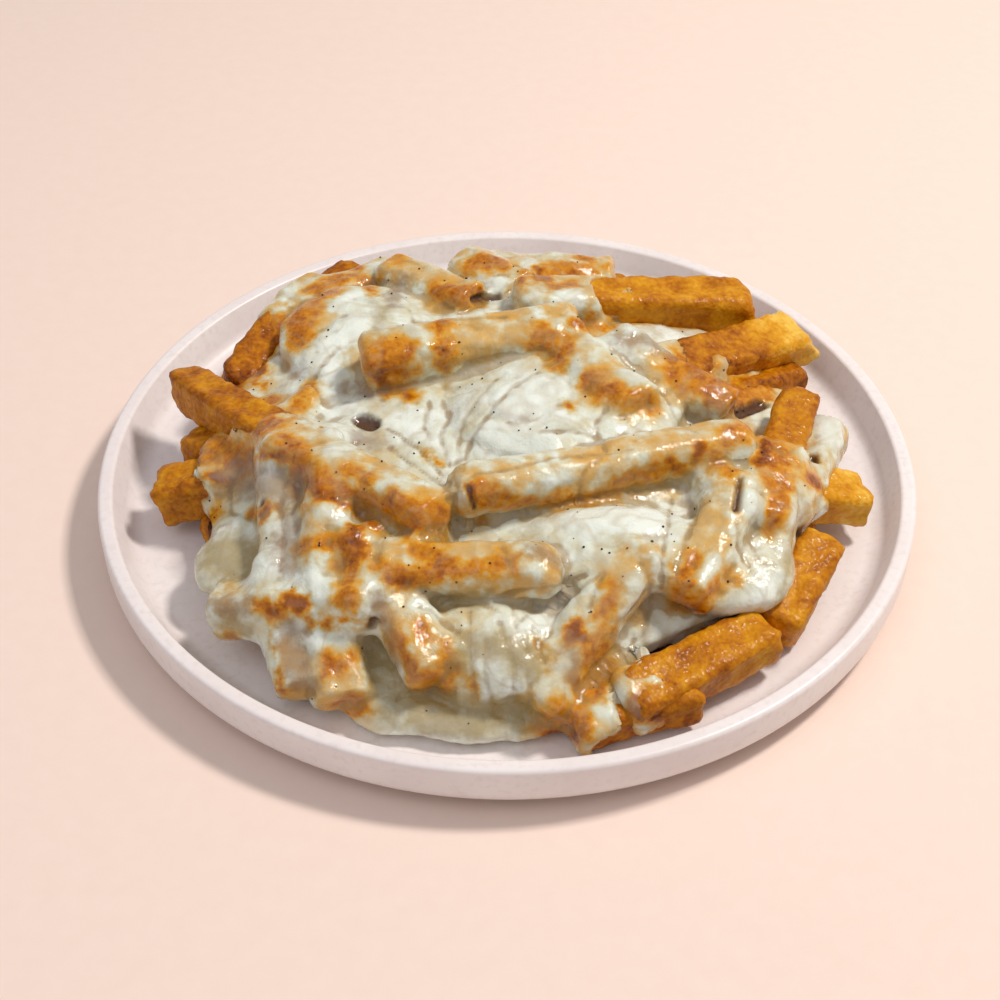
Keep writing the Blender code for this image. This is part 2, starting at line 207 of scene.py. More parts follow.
def make_plate():
    bm = bmesh.new()
    verts = [bm.verts.new((r, 0, z)) for r, z in plate_profile()]
    edges = [bm.edges.new(pair) for pair in zip(verts, verts[1:])]
    bmesh.ops.spin(
        bm, geom=verts + edges, axis=(0, 0, 1), cent=(0, 0, 0), angle=math.tau,
        steps=PLATE_STEPS, use_merge=True,
    )
    bmesh.ops.remove_doubles(bm, verts=bm.verts, dist=0.01 * MM)
    bmesh.ops.recalc_face_normals(bm, faces=bm.faces)
    return object_from("glazed_plate", bm)


plate = make_plate()
print("plate faces", len(plate.data.polygons))

# %% [markdown]
# ### Its glaze
#
# Stoneware under a satin glaze: the clay is brushed off-white with a faint pink warmth, and the
# glaze pools a little unevenly. To the eye that is a soft reflection, a colour that wanders by a
# few per cent over a hand's breadth, and the finest dimples, where the glaze settled over grog of
# about half a millimetre.

# %% Glazed stoneware
def glazed_stoneware():
    material, tree, shader = new_material("glazed_stoneware", IOR=1.5, Roughness=0.34)
    place = add(tree, "TexCoord").outputs["Object"]
    cloud = add(tree, "TexNoise", {"Vector": place, "Scale": 1 / (22 * MM), "Detail": 4})
    grog = add(tree, "TexNoise", {"Vector": place, "Scale": 1 / (2.2 * MM), "Detail": 5})
    share = add(tree, "MapRange", {"Value": cloud.outputs["Fac"], "From Min": 0.35, "From Max": 0.7})
    body = add(
        tree, "Mix", {0: share.outputs[0], 6: linear("#EEE7E6"), 7: linear("#E8DFDE")},
        data_type="RGBA",
    )
    fleck = add(tree, "MapRange", {"Value": grog.outputs["Fac"], "From Min": 0.5, "From Max": 0.75})
    speckled = add(
        tree, "Mix", {0: fleck.outputs[0], 6: body.outputs[2], 7: linear("#E3DAD8")}, data_type="RGBA"
    )
    tree.links.new(speckled.outputs[2], shader.inputs["Base Color"])
    dimple = add(
        tree, "Bump", {"Height": grog.outputs["Fac"], "Strength": 0.12, "Distance": 0.2 * MM}
    )
    tree.links.new(dimple.outputs["Normal"], shader.inputs["Normal"])
    return material


plate.data.materials.append(glazed_stoneware())
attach(plate, "root")
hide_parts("plate")

# %% [markdown]
# ## Where the fries lie
#
# Each fry of the heap is one line: its free end, the way it points, its length, how much of it
# the cheese leaves bare, how thick the cheese lies on the rest, and how much wider it is than
# most. The plain model uses the same lines, so the detailed pieces below lie where its solids
# are. Two more kinds follow a rule: a low ring on the plate, and the slope at the back. Every
# random draw comes from one seeded source, so each run gives the same heap.

# %% The heap's layout
Fry = namedtuple("Fry", "x y z turn rise length bare film size", defaults=(1,))
SHOWN_FRIES = {
    "left_point": Fry(-101, 20, 22, 133, -10, 72, 0.62, 0.4, 1.12),
    "left_diagonal": Fry(-17, -60, 39, -36, 3, 62, 0.0, 0.4, 1.12),
    "left_stub": Fry(-104, -17, 10, 174, -18, 60, 0.3, 0.9, 1.2),
    "left_behind": Fry(-98, -1, 15, 157, -16, 55, 0.2, 0.4),
    "upper_left_long": Fry(-87, 25, 19, -117, -2, 56, 0.5, 0.2),
    "upper_left_next": Fry(-50, 84, 20, 53, 0, 46, 0.5, 0.3),
    "upper_left_end": Fry(-36, 80, 22, 30, 0, 40, 0.0, 0.5),
    "lower_left_stub": Fry(-83, -69, 13, 166, -18, 52, 0.0, 0.9),
    "left_column": Fry(-60, -72, 20, -85, -13, 56, 0.0, 1.2),
    "left_lower_column": Fry(-55, -97, 8, -75, -24, 42, 0.0, 1.0),
    "front_left_post": Fry(-49, -79, 23, -89, -20, 46, 0.0, 0.7),
    "front_left_end": Fry(-44, -101, 8, -79, -24, 46, 0.0, 0.7),
    "centre_left_bar": Fry(-36, -70, 31, 176, -3, 50, 0.0, 0.4),
    "centre_left_slant": Fry(-18, -99, 17, -58, -20, 50, 0.0, 0.6),
    "middle_long": Fry(72, -21, 36, 19, -3, 92, 0.0, 0.6),
    "upper_middle": Fry(-46, 9, 40, -167, -2, 70, 0.0, 0.4, 1.08),
    "top_right_big": Fry(80, 56, 27, 8, -6, 78, 0.60, 1.0, 1.26),
    "right_yellow": Fry(97, 50, 20, 36, -10, 66, 0.68, 0.3, 1.22),
    "right_under_yellow": Fry(93, 37, 11, 36, -14, 60, 0.9, 0.3, 1.2),
    "right_post": Fry(88, 3, 30, 72, 2, 56, 0.5, 0.8, 1.08),
    "right_back_lump": Fry(99, 3, 18, 66, -6, 46, 0.0, 0.8),
    "right_stub": Fry(107, -19, 11, 18, -18, 60, 0.38, 0.6, 1.15),
    "right_low_edge": Fry(92, -42, 14, 60, 8, 36, 1.0, 0.3, 1.15),
    "lower_right_wedge": Fry(73, -76, 12, 31, 2, 50, 0.72, 0.3, 1.25),
    "front_right_bar": Fry(51, -95, 9, 18, 3, 36, 0.75, 0.3, 1.12),
    "front_right_post": Fry(6, -104, 9, -129, -26, 57, 0.0, 0.4),
    "right_front_slant": Fry(48, -78, 25, -114, -10, 46, 0.0, 0.5),
    "right_column": Fry(71, -66, 17, -99, -15, 50, 0.0, 1.0),
    "back_left_end": Fry(-9, 49, 32, -39, 6, 40, 0.0, 0.4),
    "back_middle_end": Fry(5, 60, 28, -48, 6, 32, 0.0, 0.5),
    "back_right_end": Fry(38, 79, 22, -2, -1, 46, 0.0, 0.8),
    "centre_right_end": Fry(39, -15, 40, -56, 1, 42, 0.0, 0.6),
    "right_inner": Fry(68, -6, 31, -33, -12, 46, 0.0, 0.5),
    "left_inner": Fry(-56, 4, 25, 35, 2, 24, 0.0, 0.8),
}
RING_COUNT = 20
RING_RADIUS = 94
RING_HEIGHT = 6.6
RING_STRAY = 4
RING_SPACING = 0.25
RING_TURN = 50
RING_LENGTH = (44, 58)
BACK_COUNT = 9
BACK_RADIUS = 95
BACK_SPAN = (25, 165)
BACK_STRAY = 6
BACK_HEIGHT = (8, 13)
BACK_TURN = 45
BACK_RISE = (-14, -5)
BACK_LENGTH = (46, 62)
BACK_BARE = (0.1, 0.5)
BACK_FILM = 0.5

Pool = namedtuple("Pool", "x y z rx ry rz")
POOLS = {
    "middle": Pool(18, -6, 35, 34, 26, 8),
    "lower_middle": Pool(30, -60, 28, 26, 16, 9),
    "upper_left": Pool(-47, 37, 29, 25, 26, 7),
    "front_flow": Pool(-4, -86, 15, 20, 17, 13),
    "front_foot": Pool(-6, -99, 4, 26, 10, 5),
    "front_left_film": Pool(-32, -88, 5, 15, 18, 8),
    "left_film": Pool(-76, -50, 13, 14, 15, 6),
    "right_lower": Pool(64, -62, 20, 16, 14, 8),
    "back": Pool(12, 62, 19, 34, 18, 8),
    "back_flow": Pool(-34, 90, 9, 18, 14, 6),
    "back_right_flow": Pool(44, 83, 9, 17, 14, 6),
}
MOUND_RADII = (96 * MM, 93 * MM, 26 * MM)
MOUND_MIDDLE = Vector((0, 1 * MM, 8 * MM))


def on_circle(radius, angle):
    return radius * math.cos(math.radians(angle)), radius * math.sin(math.radians(angle))


def ring_fries(draw):
    """Fries that lie on the plate round the foot of the heap, most of them pointing out."""
    fries = []
    for i in range(RING_COUNT):
        angle = 360 * (i + draw.uniform(-RING_SPACING, RING_SPACING)) / RING_COUNT
        x, y = on_circle(RING_RADIUS + draw.uniform(-RING_STRAY, RING_STRAY), angle)
        turn = angle + draw.uniform(-RING_TURN, RING_TURN)
        fries.append(Fry(x, y, RING_HEIGHT, turn, 0, draw.uniform(*RING_LENGTH), 1.0, 0))
    return fries


def back_fries(draw):
    """Fries on the slope that faces away from the eater."""
    fries = []
    for i in range(BACK_COUNT):
        angle = BACK_SPAN[0] + (BACK_SPAN[1] - BACK_SPAN[0]) * (i + 0.5) / BACK_COUNT
        x, y = on_circle(BACK_RADIUS + draw.uniform(-BACK_STRAY, BACK_STRAY), angle)
        z = draw.uniform(*BACK_HEIGHT)
        turn = angle + draw.uniform(-BACK_TURN, BACK_TURN)
        rise = draw.uniform(*BACK_RISE)
        length = draw.uniform(*BACK_LENGTH)
        fries.append(Fry(x, y, z, turn, rise, length, draw.uniform(*BACK_BARE), BACK_FILM))
    return fries


# %% [markdown]
# ## The shape of one fry
#
# A fry is cut square by a blade, then it shrinks, bows and blisters in hot oil. So each one is a
# box with rounded edges, drawn a little thicker or thinner than its neighbour, tapered, bent and
# rolled. The class keeps those numbers. It can also say how far any point lies outside the fry,
# and that distance is what the cheese is later laid over.

# %% One fry's numbers
FRY_WIDTH = 13.0 * MM
FRY_DEPTH = 11.6 * MM
FRY_EDGE = 3.3 * MM
COVERED_EDGE = 4.1 * MM
FRY_SPREAD = 0.07
FRY_ROLL = 14
FRY_BEND = 2.2 * MM
FRY_TAPER = 0.08


def placement(fry):
    """The matrix that sets a stick lying along X, centred, with its free end at the fry's own."""
    turned = Matrix.Rotation(math.radians(fry.turn), 4, "Z")
    raised = Matrix.Rotation(-math.radians(fry.rise), 4, "Y")
    tip = Vector((fry.x * MM, fry.y * MM, fry.z * MM + WELL_HEIGHT))
    back = Vector((-fry.length * MM / 2, 0, 0))
    return Matrix.Translation(tip) @ turned @ raised @ Matrix.Translation(back)


class Stick:
    """One fry's shape: its matrix, half sizes, bend and taper, drawn from a seeded source."""

    def __init__(self, name, fry, draw):
        self.name = name
        self.fry = fry
        roll = Matrix.Rotation(math.radians(draw.uniform(-FRY_ROLL, FRY_ROLL)), 4, "X")
        self.matrix = placement(fry) @ roll
        self.half = Vector((
            fry.length * MM / 2,
            FRY_WIDTH / 2 * fry.size * (1 + draw.uniform(-FRY_SPREAD, FRY_SPREAD)),
            FRY_DEPTH / 2 * fry.size * (1 + draw.uniform(-FRY_SPREAD, FRY_SPREAD)),
        ))
        self.bend = FRY_BEND * draw.uniform(-1, 1)
        self.taper = FRY_TAPER * draw.uniform(-1, 1)
        self.edge = FRY_EDGE if fry.bare > 0 else COVERED_EDGE

    def covered(self):
        """The part of the fry that lies under the cheese, as a shorter stick."""
        short = copy.copy(self)
        cut = self.half.x * self.fry.bare
        short.half = Vector((self.half.x - cut, self.half.y, self.half.z))
        short.matrix = self.matrix @ Matrix.Translation((-cut, 0, 0))
        return short

    def bow(self, along):
        return self.bend * (along * along - 1 / 3)

    def distance(self, points):
        """How far each point of an (n, 3) array lies outside the stick, and where along it."""
        inverse = np.array(self.matrix.inverted())
        local = points @ inverse[:3, :3].T + inverse[:3, 3]
        along = np.clip(local[:, 0] / self.half.x, -1, 1)
        local[:, 1] -= self.bow(along)
        size = 1 + self.taper * along
        core = np.array(self.half) - self.edge
        outside = np.abs(local) - core * np.stack([np.ones_like(size), size, size], axis=1)
        rounded = np.linalg.norm(np.maximum(outside, 0), axis=1)
        return rounded + np.minimum(outside.max(axis=1), 0) - self.edge, along


def all_sticks():
    draw = random.Random(SEED)
    fries = list(SHOWN_FRIES.items())
    fries += [(f"ring_{i}", fry) for i, fry in enumerate(ring_fries(draw))]
    fries += [(f"back_{i}", fry) for i, fry in enumerate(back_fries(draw))]
    return [Stick(name, fry, draw) for name, fry in fries]


sticks = all_sticks()
bare_sticks = [stick for stick in sticks if stick.fry.bare > 0]
print("fries", len(sticks), "of which show", len(bare_sticks))

# %% [markdown]
# ### Uneven surfaces without chance
#
# Food is never even. A ripple is a sum of a few sine waves in different directions. It is smooth,
# quick for a hundred thousand points at once, and the same on every run, which a noise texture in
# a modifier would be too, but the ripple can also be read while the shape is being worked out.

# %% Ripples, and coordinates as arrays
WAVES = 7


def ripple(points, size, seed):
    """A smooth uneven value from about -1 to 1 at each point, with bumps about size across."""
    draw = random.Random(seed)
    total = np.zeros(len(points))
    for _ in range(WAVES):
        way = np.array([draw.gauss(0, 1) for _ in range(3)])
        way *= math.tau / (size * 2) * draw.uniform(0.7, 1.4) / np.linalg.norm(way)
        total += np.sin(points @ way + draw.uniform(0, math.tau))
    return total / math.sqrt(WAVES)


def read_points(mesh):
    flat = np.empty(len(mesh.vertices) * 3)
    mesh.vertices.foreach_get("co", flat)
    return flat.reshape(-1, 3)


def write_points(mesh, points):
    mesh.vertices.foreach_set("co", points.ravel())
    mesh.update()


def read_normals(mesh):
    flat = np.empty(len(mesh.vertices) * 3)
    mesh.vertices.foreach_get("normal", flat)
    return flat.reshape(-1, 3)


def write_attribute(mesh, name, values):
    attribute = mesh.attributes.get(name) or mesh.attributes.new(name, "FLOAT", "POINT")
    attribute.data.foreach_set("value", np.asarray(values, np.float32))


def smooth_step(value, low, high):
    share = np.clip((value - low) / (high - low), 0, 1)
    return share * share * (3 - 2 * share)


# %% [markdown]
# ## The fries that show
#
# Every fry that shows is modelled whole. It begins as a cube, its edges are bevelled round, and
# planes slice it into a fine net, so that it can be bent and blistered. Cutting with planes keeps
# the faces square, where a plain subdivision would crowd them at the bevels. Its sides sink a
# little between the edges, as they do when the potato dries, and its free end is cut on a slant.

# %% Build the fries
BEVEL_STEPS = 3
SLICE_LENGTH = 1.9 * MM
CROSS_SLICES = 4
SINK = 0.5 * MM
BLISTER = 0.34 * MM
BLISTER_SIZE = 3.5 * MM
FINE_BLISTER_SIZE = 1.7 * MM
FINE_BLISTER_SHARE = 0.6
TWIST = 9

# Share of brown in a fry's colour at its free end and at its other end, 0 for pale yellow
BROWNING = {
    "left_point": (0.56, 0.52),
    "left_stub": (0.5, 0.6),
    "left_behind": (0.52, 0.66),
    "upper_left_long": (0.68, 0.6),
    "upper_left_next": (0.6, 0.66),
    "top_right_big": (0.42, 0.42),
    "right_yellow": (0.08, 0.56),
    "right_under_yellow": (0.64, 0.56),
    "right_post": (0.54, 0.5),
    "right_stub": (0.22, 0.6),
    "right_low_edge": (0.4, 0.46),
    "lower_right_wedge": (0.38, 0.52),
    "front_right_bar": (0.58, 0.62),
    "front_right_post": (0.62, 0.55),
    "centre_left_slant": (0.7, 0.6),
}
# How far the free end slants: the rise of the end face's top over its bottom, per unit of height
SLANT = {"right_yellow": -0.9, "top_right_big": -0.35, "left_point": 0.3, "right_post": 0.3}
# The rest are drawn from these spans
USUAL_TIP_BROWN = (0.45, 0.7)
USUAL_ROOT_BROWN = (0.6, 0.85)
USUAL_SLANT = 0.25


def blank_stick(half):
    """A box with round edges, sliced into nearly square faces."""
    bm = bmesh.new()
    bmesh.ops.create_cube(bm, size=2)
    bmesh.ops.scale(bm, vec=half, verts=bm.verts)
    bmesh.ops.bevel(
        bm, geom=bm.edges[:], offset=FRY_EDGE, offset_type="OFFSET", affect="EDGES",
        segments=BEVEL_STEPS, profile=0.5, material=-1,
    )
    slices = [round(2 * half.x / SLICE_LENGTH), CROSS_SLICES, CROSS_SLICES]
    for axis, count in enumerate(slices):
        reach = half[axis] - FRY_EDGE
        way = Vector((axis == 0, axis == 1, axis == 2))
        for i in range(1, count):
            bmesh.ops.bisect_plane(
                bm, geom=bm.verts[:] + bm.edges[:] + bm.faces[:], dist=1e-6,
                plane_co=way * reach * (2 * i / count - 1), plane_no=way,
            )
    return bm


def shape_stick(stick, local, seed):
    """Bends, tapers, twists and blisters a blank stick, and puts it in its place."""
    along = local[:, 0] / stick.half.x
    edge_share = np.minimum(np.abs(local[:, 1]) / stick.half.y, np.abs(local[:, 2]) / stick.half.z)
    sunk = SINK * (1 - smooth_step(edge_share, 0.2, 0.8)) * smooth_step(1 - np.abs(along), 0, 0.15)
    across = local[:, 1:]
    length = np.maximum(np.linalg.norm(across, axis=1), 1e-6)
    fine = FINE_BLISTER_SHARE * ripple(local, FINE_BLISTER_SIZE, seed + 1)
    rough = BLISTER * (ripple(local, BLISTER_SIZE, seed) + fine)
    across = across * (1 + (rough - sunk) / length)[:, None] * (1 + stick.taper * along)[:, None]
    twist = math.radians(TWIST) * along * random.Random(seed).uniform(-1, 1)
    turned_y = across[:, 0] * np.cos(twist) - across[:, 1] * np.sin(twist)
    turned_z = across[:, 0] * np.sin(twist) + across[:, 1] * np.cos(twist)
    slant = SLANT.get(stick.name, random.Random(seed + 2).uniform(-USUAL_SLANT, USUAL_SLANT))
    slid = local[:, 0] + slant * turned_z * smooth_step(along, 0.5, 1) + rough * (np.abs(along) > 0.9)
    shaped = np.stack([slid, turned_y + stick.bow(along), turned_z], axis=1)
    placed = np.array(stick.matrix)
    return shaped @ placed[:3, :3].T + placed[:3, 3], along, edge_share


def browning_of(stick, along, seed):
    """The share of brown at each point, from the free end to the other, in soft steps."""
    draw = random.Random(seed)
    usual = (draw.uniform(*USUAL_TIP_BROWN), draw.uniform(*USUAL_ROOT_BROWN))
    tip, root = BROWNING.get(stick.name, usual)
    return root + (tip - root) * smooth_step(along, -0.1, 0.85)


def make_fries():
    joined = bmesh.new()
    browning, edges = [], []
    for i, stick in enumerate(bare_sticks):
        piece = bpy.data.meshes.new(stick.name)
        blank = blank_stick(stick.half)
        blank.to_mesh(piece)
        blank.free()
        points, along, edge_share = shape_stick(stick, read_points(piece), SEED * 100 + i)
        write_points(piece, points)
        joined.from_mesh(piece)
        bpy.data.meshes.remove(piece)
        browning.append(browning_of(stick, along, SEED * 200 + i))
        edges.append(edge_share)
    bmesh.ops.recalc_face_normals(joined, faces=joined.faces)
    return joined, np.concatenate(browning), np.concatenate(edges)


fries_mesh, fries_browning, fries_edges = make_fries()
print("fries faces", len(fries_mesh.faces))

# %% [markdown]
# ### The core of the heap
#
# What lies under the cheese is hidden. One mound stands for it, a squashed ball cut off at the
# plate. It only shows between the lowest fries, where shade falls, so it gets the deepest
# browning, which is painted shade there, and a coarse relief.

# %% Add the core
CORE_SIDES = 120
CORE_SHRINK = 1.5 * MM
CORE_RELIEF = 1.6 * MM
CORE_RELIEF_SIZE = 9 * MM
# The darkest brown, painted shade between the lowest fries
CORE_SHADE_BROWNING = 0.98
FLOOR_GAP = 0.35 * MM


def ball(middle, radii, sides):
    """A squashed ball that stands on the well's height."""
    bm = bmesh.new()
    bmesh.ops.create_uvsphere(bm, u_segments=sides, v_segments=sides // 2, radius=1)
    bmesh.ops.scale(bm, vec=radii, verts=bm.verts)
    bmesh.ops.translate(bm, vec=Vector(middle) + Vector((0, 0, WELL_HEIGHT)), verts=bm.verts)
    return bm


def cut_flat(bm, height):
    """Cuts everything below a height off, and closes the cut with flat faces."""
    cut = bmesh.ops.bisect_plane(
        bm, geom=bm.verts[:] + bm.edges[:] + bm.faces[:], dist=1e-7,
        plane_co=(0, 0, height), plane_no=(0, 0, 1), clear_inner=True,
    )
    rim = [item for item in cut["geom_cut"] if isinstance(item, bmesh.types.BMEdge)]
    bmesh.ops.holes_fill(bm, edges=rim, sides=0)
    bmesh.ops.recalc_face_normals(bm, faces=bm.faces)


def core_mesh():
    bm = ball(MOUND_MIDDLE, [radius - CORE_SHRINK for radius in MOUND_RADII], CORE_SIDES)
    mesh = bpy.data.meshes.new("core")
    bm.to_mesh(mesh)
    bm.free()
    points = read_points(mesh)
    relief = CORE_RELIEF * ripple(points, CORE_RELIEF_SIZE, SEED)
    write_points(mesh, points + read_normals(mesh) * relief[:, None])
    return mesh


def finish_fries():
    core = core_mesh()
    first = len(fries_mesh.verts)
    fries_mesh.from_mesh(core)
    bpy.data.meshes.remove(core)
    made = object_from("fried_potatoes", fries_mesh)
    added = len(made.data.vertices) - first
    write_attribute(made.data, "browning", np.append(fries_browning, [CORE_SHADE_BROWNING] * added))
    write_attribute(made.data, "edge", np.append(fries_edges, [0] * added))
    bm = bmesh.new()
    bm.from_mesh(made.data)
    cut_flat(bm, WELL_HEIGHT + FLOOR_GAP)
    bm.to_mesh(made.data)
    bm.free()
    made.data.shade_smooth()
    return made


fries = finish_fries()
print("fries and core, triangles", sum(len(p.vertices) - 2 for p in fries.data.polygons))

# %% [markdown]
# ### Fried potato
#
# Twice-fried potato with its skin left on here and there: a dry crisp crust full of tiny
# blisters, pale yellow where it was last cut, golden on its sides, brown along its edges, and a
# deep orange where gravy has soaked in. The crust is rough, but a film of oil over it throws
# small bright points. The blisters are about a millimetre across.

# %% Fried potato
def fried_potato():
    material, tree, shader = new_material(
        "fried_potato", IOR=1.22, Roughness=0.5, Coat_Weight=0.15, Coat_Roughness=0.1,
        Subsurface_Weight=0.08, Subsurface_Radius=(1.0, 0.35, 0.05), Subsurface_Scale=1.2 * MM,
    )
    place = add(tree, "TexCoord").outputs["Object"]
    browning = add(tree, "Attribute", attribute_name="browning").outputs["Fac"]
    edge = add(tree, "Attribute", attribute_name="edge").outputs["Fac"]
    patch = add(tree, "TexNoise", {"Vector": place, "Scale": 1 / (7 * MM), "Detail": 5, "Distortion": 0.5})
    crust = add(tree, "TexNoise", {"Vector": place, "Scale": 1 / (1.6 * MM), "Detail": 6})
    blister = add(tree, "TexVoronoi", {"Vector": place, "Scale": 1 / (1.3 * MM)})
    patches = add(tree, "MapRange", {
        "Value": patch.outputs["Fac"], **NOISE_SPAN, "To Min": -0.2, "To Max": 0.2,
    })
    grains = add(tree, "MapRange", {
        "Value": crust.outputs["Fac"], **NOISE_SPAN, "To Min": -0.11, "To Max": 0.11,
    })
    rim = add(tree, "MapRange", {
        "Value": edge, "From Min": 0.7, "From Max": 1.0, "To Min": 0.0, "To Max": 0.22,
    })
    first = add(tree, "Math", {0: browning, 1: patches.outputs[0]}, operation="ADD")
    second = add(tree, "Math", {0: first.outputs[0], 1: grains.outputs[0]}, operation="ADD")
    third = add(tree, "Math", {0: second.outputs[0], 1: rim.outputs[0]}, operation="ADD")
    ramp = add(tree, "ValToRGB", {"Fac": third.outputs[0]}, [
        (0.0, "#E8BC50"), (0.25, "#D69618"), (0.48, "#BE7806"), (0.68, "#9E5804"),
        (0.85, "#6A3202"), (1.0, "#2E1202"),
    ])
    tree.links.new(ramp.outputs["Color"], shader.inputs["Base Color"])
    height = add(tree, "Math", {0: crust.outputs["Fac"], 1: blister.outputs["Distance"]}, operation="ADD")
    relief = add(tree, "Bump", {"Height": height.outputs[0], "Strength": 0.5, "Distance": 0.45 * MM})
    tree.links.new(relief.outputs["Normal"], shader.inputs["Normal"])
    tree.links.new(relief.outputs["Normal"], shader.inputs["Coat Normal"])
    return material


fries.data.materials.append(fried_potato())
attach(fries, "root")
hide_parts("fries")

# %% [markdown]
# ## The melted cheese
#
# Cheese that melts over fries does three things: it coats each fry with a film, it bridges from
# fry to fry in smooth hollows, and it pools where it can. A soft union does all three: each fry,
# each pool and the mound has a distance, the film is taken off it, and the distances are blended
# so that nearby shapes flow together. The surface is where that blend is zero.
#
# A cloth simulation would drape too, but it can't bridge and pool like a liquid.

# %% The cheese's field
BRIDGE = 1.6 * MM
BRIDGE_REACH = (-20 * MM, 60 * MM)
PULL_REACH = 22 * MM
FILM_MORE = 0.3 * MM
FILM_FADE = 0.12
FILM_WANDER = 0.1
FILM_WANDER_SIZE = 9 * MM
MOUND_FILM = 1.6 * MM
MOUND_BARE = 3 * MM
FILM_FOOT = (8 * MM, 15 * MM)


def ball_distance(points, middle, radii):
    """About how far each point lies outside a squashed ball that stands on the well's height."""
    local = points - np.array(middle) - np.array((0, 0, WELL_HEIGHT))
    scaled = np.linalg.norm(local / radii, axis=1)
    steepness = np.linalg.norm(local / np.square(radii), axis=1)
    return scaled * (scaled - 1) / np.maximum(steepness, 1e-6)


def pool_distance(points, pool):
    middle = np.array((pool.x, pool.y, pool.z)) * MM
    return ball_distance(points, middle, np.array((pool.rx, pool.ry, pool.rz)) * MM)


def film_on(fry, along, wander):
    """The film's thickness on a fry: the fry comes out of the cheese where it is bare."""
    from_tip = (1 - along) / 2
    covered = np.clip((from_tip - fry.bare + FILM_WANDER * wander) / FILM_FADE + 0.5, 0, 1)
    sunk = FRY_WIDTH / 2
    return covered * (fry.film * MM + FILM_MORE + sunk) - sunk


def film_on_mound(height):
    covered = np.clip((height - FILM_FOOT[0]) / (FILM_FOOT[1] - FILM_FOOT[0]), 0, 1)
    return covered * (MOUND_FILM + MOUND_BARE) - MOUND_BARE


def softened(distance):
    return np.exp(-np.clip(distance, *BRIDGE_REACH) / BRIDGE)


def cheese_field(points, wander):
    """Negative inside the melted cheese."""
    total = np.zeros(len(points))
    for stick in sticks:
        middle = np.array(stick.matrix.translation)
        reach = stick.half.length + PULL_REACH
        near = np.flatnonzero(((points - middle) ** 2).sum(axis=1) < reach * reach)
        away, along = stick.distance(points[near])
        loose = wander[near] if stick.fry.bare > 0 else 0
        total[near] += softened(away - film_on(stick.fry, along, loose))
    for pool in POOLS.values():
        total += softened(pool_distance(points, pool))
    mound = ball_distance(points, MOUND_MIDDLE, np.array(MOUND_RADII))
    total += softened(mound - film_on_mound(points[:, 2] - WELL_HEIGHT))
    return -BRIDGE * np.log(total)


# %% [markdown]
# ### Settling a skin on the field
#
# A mesh still has to find that surface. The fries, pools and mound are thrown together and
# remeshed into one coarse skin. The skin is smoothed and moved down the field's slope, in turns,
# until it lies on the surface. Remeshing it once more, finely, and settling it again gives even
# small faces all over. Marching cubes would find the same surface, but Blender's own remesh and
# smooth tools need no lists of faces.

# %% Settle the cheese
COARSE_CELL = 3.4 * MM
FINE_CELL = 0.95 * MM
SEED_GROWTH = 1.0 * MM
COARSE_TURNS = 9
FINE_TURNS = 4
LONGEST_STEP = 1.5 * MM
NUDGE = 0.1 * MM
LEAST_SLOPE_SQUARED = 0.2
MOUND_SIDES = 48
POOL_SIDES = 32


def newton_moves(points):
    """The step that takes each point down the field's slope to the cheese's surface."""
    wander = ripple(points, FILM_WANDER_SIZE, SEED + 3)
    field = cheese_field(points, wander)
    ahead = [cheese_field(points + NUDGE * axis, wander) for axis in np.eye(3)]
    slope = (np.stack(ahead, axis=1) - field[:, None]) / NUDGE
    steepness = np.maximum((slope * slope).sum(axis=1), LEAST_SLOPE_SQUARED)
    move = -slope * (field / steepness)[:, None]
    length = np.linalg.norm(move, axis=1)
    return move * np.minimum(1, LONGEST_STEP / np.maximum(length, 1e-9))[:, None]


def settle(skin, turns, smooth_turns):
    for turn in range(turns):
        if turn < smooth_turns:
            bm = bmesh.new()
            bm.from_mesh(skin.data)
            bmesh.ops.smooth_vert(
                bm, verts=bm.verts, factor=0.5, use_axis_x=True, use_axis_y=True, use_axis_z=True
            )
            bm.to_mesh(skin.data)
            bm.free()
        points = read_points(skin.data)
        write_points(skin.data, points + newton_moves(points))


def remesh(skin, cell):
    modifier = skin.modifiers.new("skin", "REMESH")
    modifier.mode = "VOXEL"
    modifier.voxel_size = cell
    bpy.context.view_layer.update()
    graph = bpy.context.evaluated_depsgraph_get()
    mesh = bpy.data.meshes.new_from_object(skin.evaluated_get(graph))
    skin.modifiers.clear()
    skin.data = mesh


def rough_stick(half):
    bm = bmesh.new()
    bmesh.ops.create_cube(bm, size=2)
    bmesh.ops.scale(bm, vec=half + Vector([SEED_GROWTH] * 3), verts=bm.verts)
    bmesh.ops.bevel(
        bm, geom=bm.edges[:], offset=FRY_EDGE, offset_type="OFFSET", affect="EDGES",
        segments=1, profile=0.5, material=-1,
    )
    return bm


def rough_heap():
    """Mound, pools and the covered part of each fry, thrown together in one mesh."""
    heap = bmesh.new()
    solids = [ball(MOUND_MIDDLE, MOUND_RADII, MOUND_SIDES)]
    for pool in POOLS.values():
        middle = Vector((pool.x, pool.y, pool.z)) * MM
        solids.append(ball(middle, (pool.rx * MM, pool.ry * MM, pool.rz * MM), POOL_SIDES))
    for stick in sticks:
        if stick.fry.bare < 1:
            short = stick.covered()
            solid = rough_stick(short.half)
            bmesh.ops.transform(solid, matrix=short.matrix, verts=solid.verts)
            solids.append(solid)
    for i, solid in enumerate(solids):
        piece = bpy.data.meshes.new(f"rough_{i}")
        solid.to_mesh(piece)
        solid.free()
        heap.from_mesh(piece)
        bpy.data.meshes.remove(piece)
    return object_from("melted_cheese_skin", heap)


cheese = rough_heap()
remesh(cheese, COARSE_CELL)
settle(cheese, COARSE_TURNS, COARSE_TURNS - 3)
remesh(cheese, FINE_CELL)
settle(cheese, FINE_TURNS, 1)
print("cheese skin faces", len(cheese.data.polygons))
